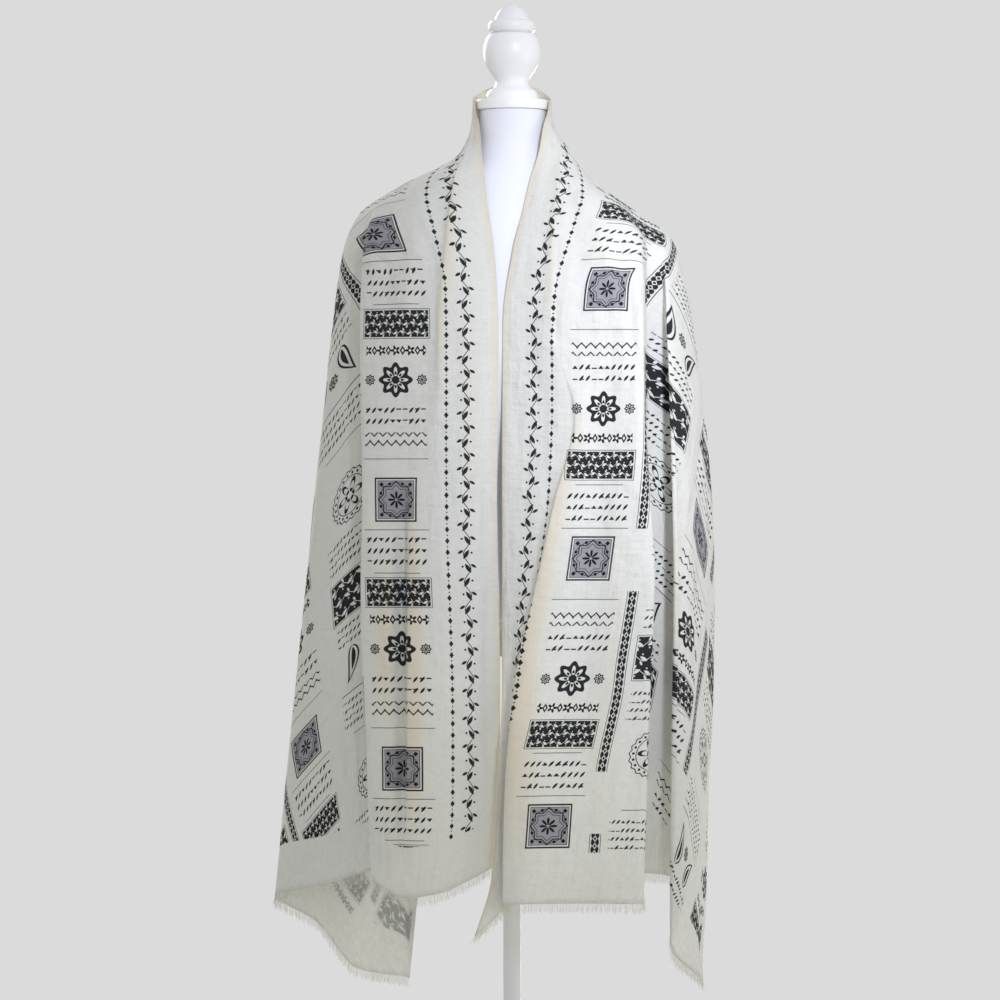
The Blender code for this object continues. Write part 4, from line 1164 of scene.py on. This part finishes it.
def plain_finish(name, light, dark, roughness, grain, depth, coat=0.0):
    """A finish with a faint mottle and a fine grain."""
    made, tree = new_finish(name)
    place = tree.node("TexCoord").outputs["Object"]
    mottle = noise(tree, place, 18.0, 3.0)
    fine = noise(tree, place, grain, 2.0)
    base = blended(tree, (mottle - 0.3) * 0.6, colour(light), colour(dark))
    bump = tree.node("Bump", sockets={"Strength": 0.35, "Distance": depth, "Height": fine})
    finish_tree(tree, {"Base Color": base, "Roughness": roughness + (mottle - 0.5) * 0.12,
                       "Normal": bump, "Coat Weight": coat})
    return made


def jersey_finish():
    """The dress form's pale stretched knit, with its fine upright ribs."""
    made, tree = new_finish("form_jersey")
    place = tree.node("TexCoord").outputs["Object"]
    parts = tree.node("SeparateXYZ", sockets={"Vector": place})
    x, y, z = (Value(tree, parts.outputs[axis]) for axis in "XYZ")
    ribs = (round_angle(x, y) * JERSEY_RIBS).sine() * 0.5 + (z * JERSEY_ROWS).sine() * 0.5
    mottle = noise(tree, place, 30.0, 3.0)
    base = blended(tree, (mottle - 0.3) * 0.5, colour(JERSEY_PALE), colour(JERSEY_DARK))
    bump = tree.node("Bump", sockets={"Strength": 0.20, "Distance": 0.0003, "Height": ribs})
    finish_tree(tree, {"Base Color": base, "Roughness": 0.78, "Normal": bump, "Sheen Weight": 0.1})
    return made


# --- the pieces --------------------------------------------------------------------------------------
CLOTH_NODES = ("left_front", "left_side", "back_fall", "right_side", "right_front")
FRINGE_NODES = (("left_front_fringe", "left_side_fringe"), ("right_front_fringe", "right_side_fringe"))


def build_object():
    shawl, ends = build_shawl(cloth_finish())
    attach(shawl, "root")
    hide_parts(*CLOTH_NODES)
    tree, threads = frayed_end_tree(), thread_finish()
    for name, (points, fall), nodes in zip(("left_frayed_end", "right_frayed_end"), ends, FRINGE_NODES):
        fringe = build_frayed_end(name, tree, points, fall, threads)
        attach(fringe, "root")
        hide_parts(*nodes)
    form = build_form(jersey_finish())
    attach(form, "root")
    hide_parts("torso")
    paint = plain_finish("white_paint", (0.95, 0.95, 0.96), (0.91, 0.91, 0.91), 0.34, 300.0, 0.0002, 0.15)
    metal = plain_finish("white_metal", (0.82, 0.82, 0.82), (0.76, 0.76, 0.77), 0.38, 900.0, 0.0001)
    for node, piece in build_stand(paint, metal).items():
        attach(piece, "root")
        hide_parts(node)
        "painted_wood" if node in ("neck_cap", "finial") else "white_metal"


# --- floor, light and camera -------------------------------------------------------------------------
BACKDROP = (0.708, 0.708, 0.708)
SKY = (0.66, 0.68, 0.705)     # soft light from above and from below
GROUND = (0.42, 0.398, 0.325)
FLOOR_RADIUS = 3.0
BACKDROP_RADIUS = 30.0
BACKDROP_RINGS = 24
STAGE_SEGMENTS = 96
VIEW_DISTANCE = 6.0
VIEW_WIDTH = 1.25           # what the camera takes in at the object's middle
VIEW_CENTRE = (-0.015, 0.98)
Light = namedtuple("Light", "name kind place target power tint")
LIGHTS = (
    Light("key", "SPOT", (0.8, -2.8, 2.2), (0.13, 0, 1.14), 355, (0.95, 0.99, 1.16)),
    Light("side", "AREA", (3.0, -1.1, 0.6), (0.2, 0, 0.7), 14, (1, 0.99, 0.96)),
    Light("rear", "AREA", (-1.8, 3.2, 2.4), (0, 0, 1.1), 55, (1, 1, 1)),
    Light("low rear", "AREA", (0.5, 3.0, 0.5), (0.02, -0.1, 0.75), 55, (1, 0.95, 0.84)),
)
KEY_SPREAD = radians(23)
KEY_RADIUS = 0.22
KEY_NARROWING = 0.50        # the key light's cone is this much narrower than it is tall
SOFT_LIGHT_SIZE = 2.0


def build_stage():
    """A pale floor, and a plain grey backdrop all round that only the camera sees."""
    made, tree = new_finish("floor")
    place = tree.node("TexCoord").outputs["Object"]
    mottle = noise(tree, place, 3.0, 2.0)
    base = blended(tree, mottle * 0.2, colour(BACKDROP), colour((0.66, 0.66, 0.665)))
    finish_tree(tree, {"Base Color": base, "Roughness": 0.9})
    ring = rings_about_z([(FLOOR_RADIUS, 0.0)], STAGE_SEGMENTS)[0]
    mesh_object("floor", ring, [list(range(len(ring)))], made)

    made, tree = new_finish("backdrop")
    light = tree.node("Emission", sockets={"Color": colour(BACKDROP), "Strength": 1.0})
    tree.node("OutputMaterial", sockets={"Surface": light})
    fall = np.linspace(0.02, pi - 0.02, BACKDROP_RINGS)
    dome = BACKDROP_RADIUS * np.stack([np.sin(fall), np.cos(fall)], 1)
    backdrop = ring_solid("backdrop", rings_about_z(dome, STAGE_SEGMENTS), made)
    for ray in ("diffuse", "glossy", "transmission", "shadow", "volume_scatter"):
        setattr(backdrop, "visible_" + ray, False)

    world = bpy.data.worlds.new("studio")
    world.use_nodes = True
    world.node_tree.nodes.clear()
    tree = Tree(world.node_tree, "ShaderNode")
    parts = tree.node("SeparateXYZ", sockets={"Vector": tree.node("TexCoord").outputs["Generated"]})
    upward = Value(tree, parts.outputs["Z"]).math("MULTIPLY_ADD", 0.5, 0.5, clamp=True)
    sky = tree.node("Background", sockets={"Color": blended(tree, upward, colour(GROUND), colour(SKY))})
    tree.node("OutputWorld", sockets={"Surface": sky})
    bpy.context.scene.world = world


def add_light(light):
    lamp = bpy.data.lights.new(light.name, light.kind)
    lamp.energy, lamp.color = light.power, light.tint
    if light.kind == "SPOT":
        lamp.spot_size, lamp.spot_blend, lamp.shadow_soft_size = KEY_SPREAD, 1.0, KEY_RADIUS
    else:
        lamp.shape, lamp.size = "DISK", SOFT_LIGHT_SIZE
    made = in_scene(light.name, lamp)
    made.location = light.place
    made.rotation_euler = (Vector(light.target) - Vector(light.place)).to_track_quat("-Z", "Y").to_euler()
    return made


def build_view():
    lights = [add_light(light) for light in LIGHTS]
    lights[0].scale.x = KEY_NARROWING
    camera = bpy.data.cameras.new("camera")
    camera.sensor_width = 36.0
    camera.clip_end = 2 * BACKDROP_RADIUS
    camera.lens = camera.sensor_width * VIEW_DISTANCE / VIEW_WIDTH
    made = in_scene("camera", camera)
    made.location = (VIEW_CENTRE[0], -VIEW_DISTANCE, VIEW_CENTRE[1])
    made.rotation_euler = (pi / 2, 0, 0)
    bpy.context.scene.camera = made
    bpy.context.scene.view_settings.view_transform = "Standard"


build_object()
build_stage()
build_view()
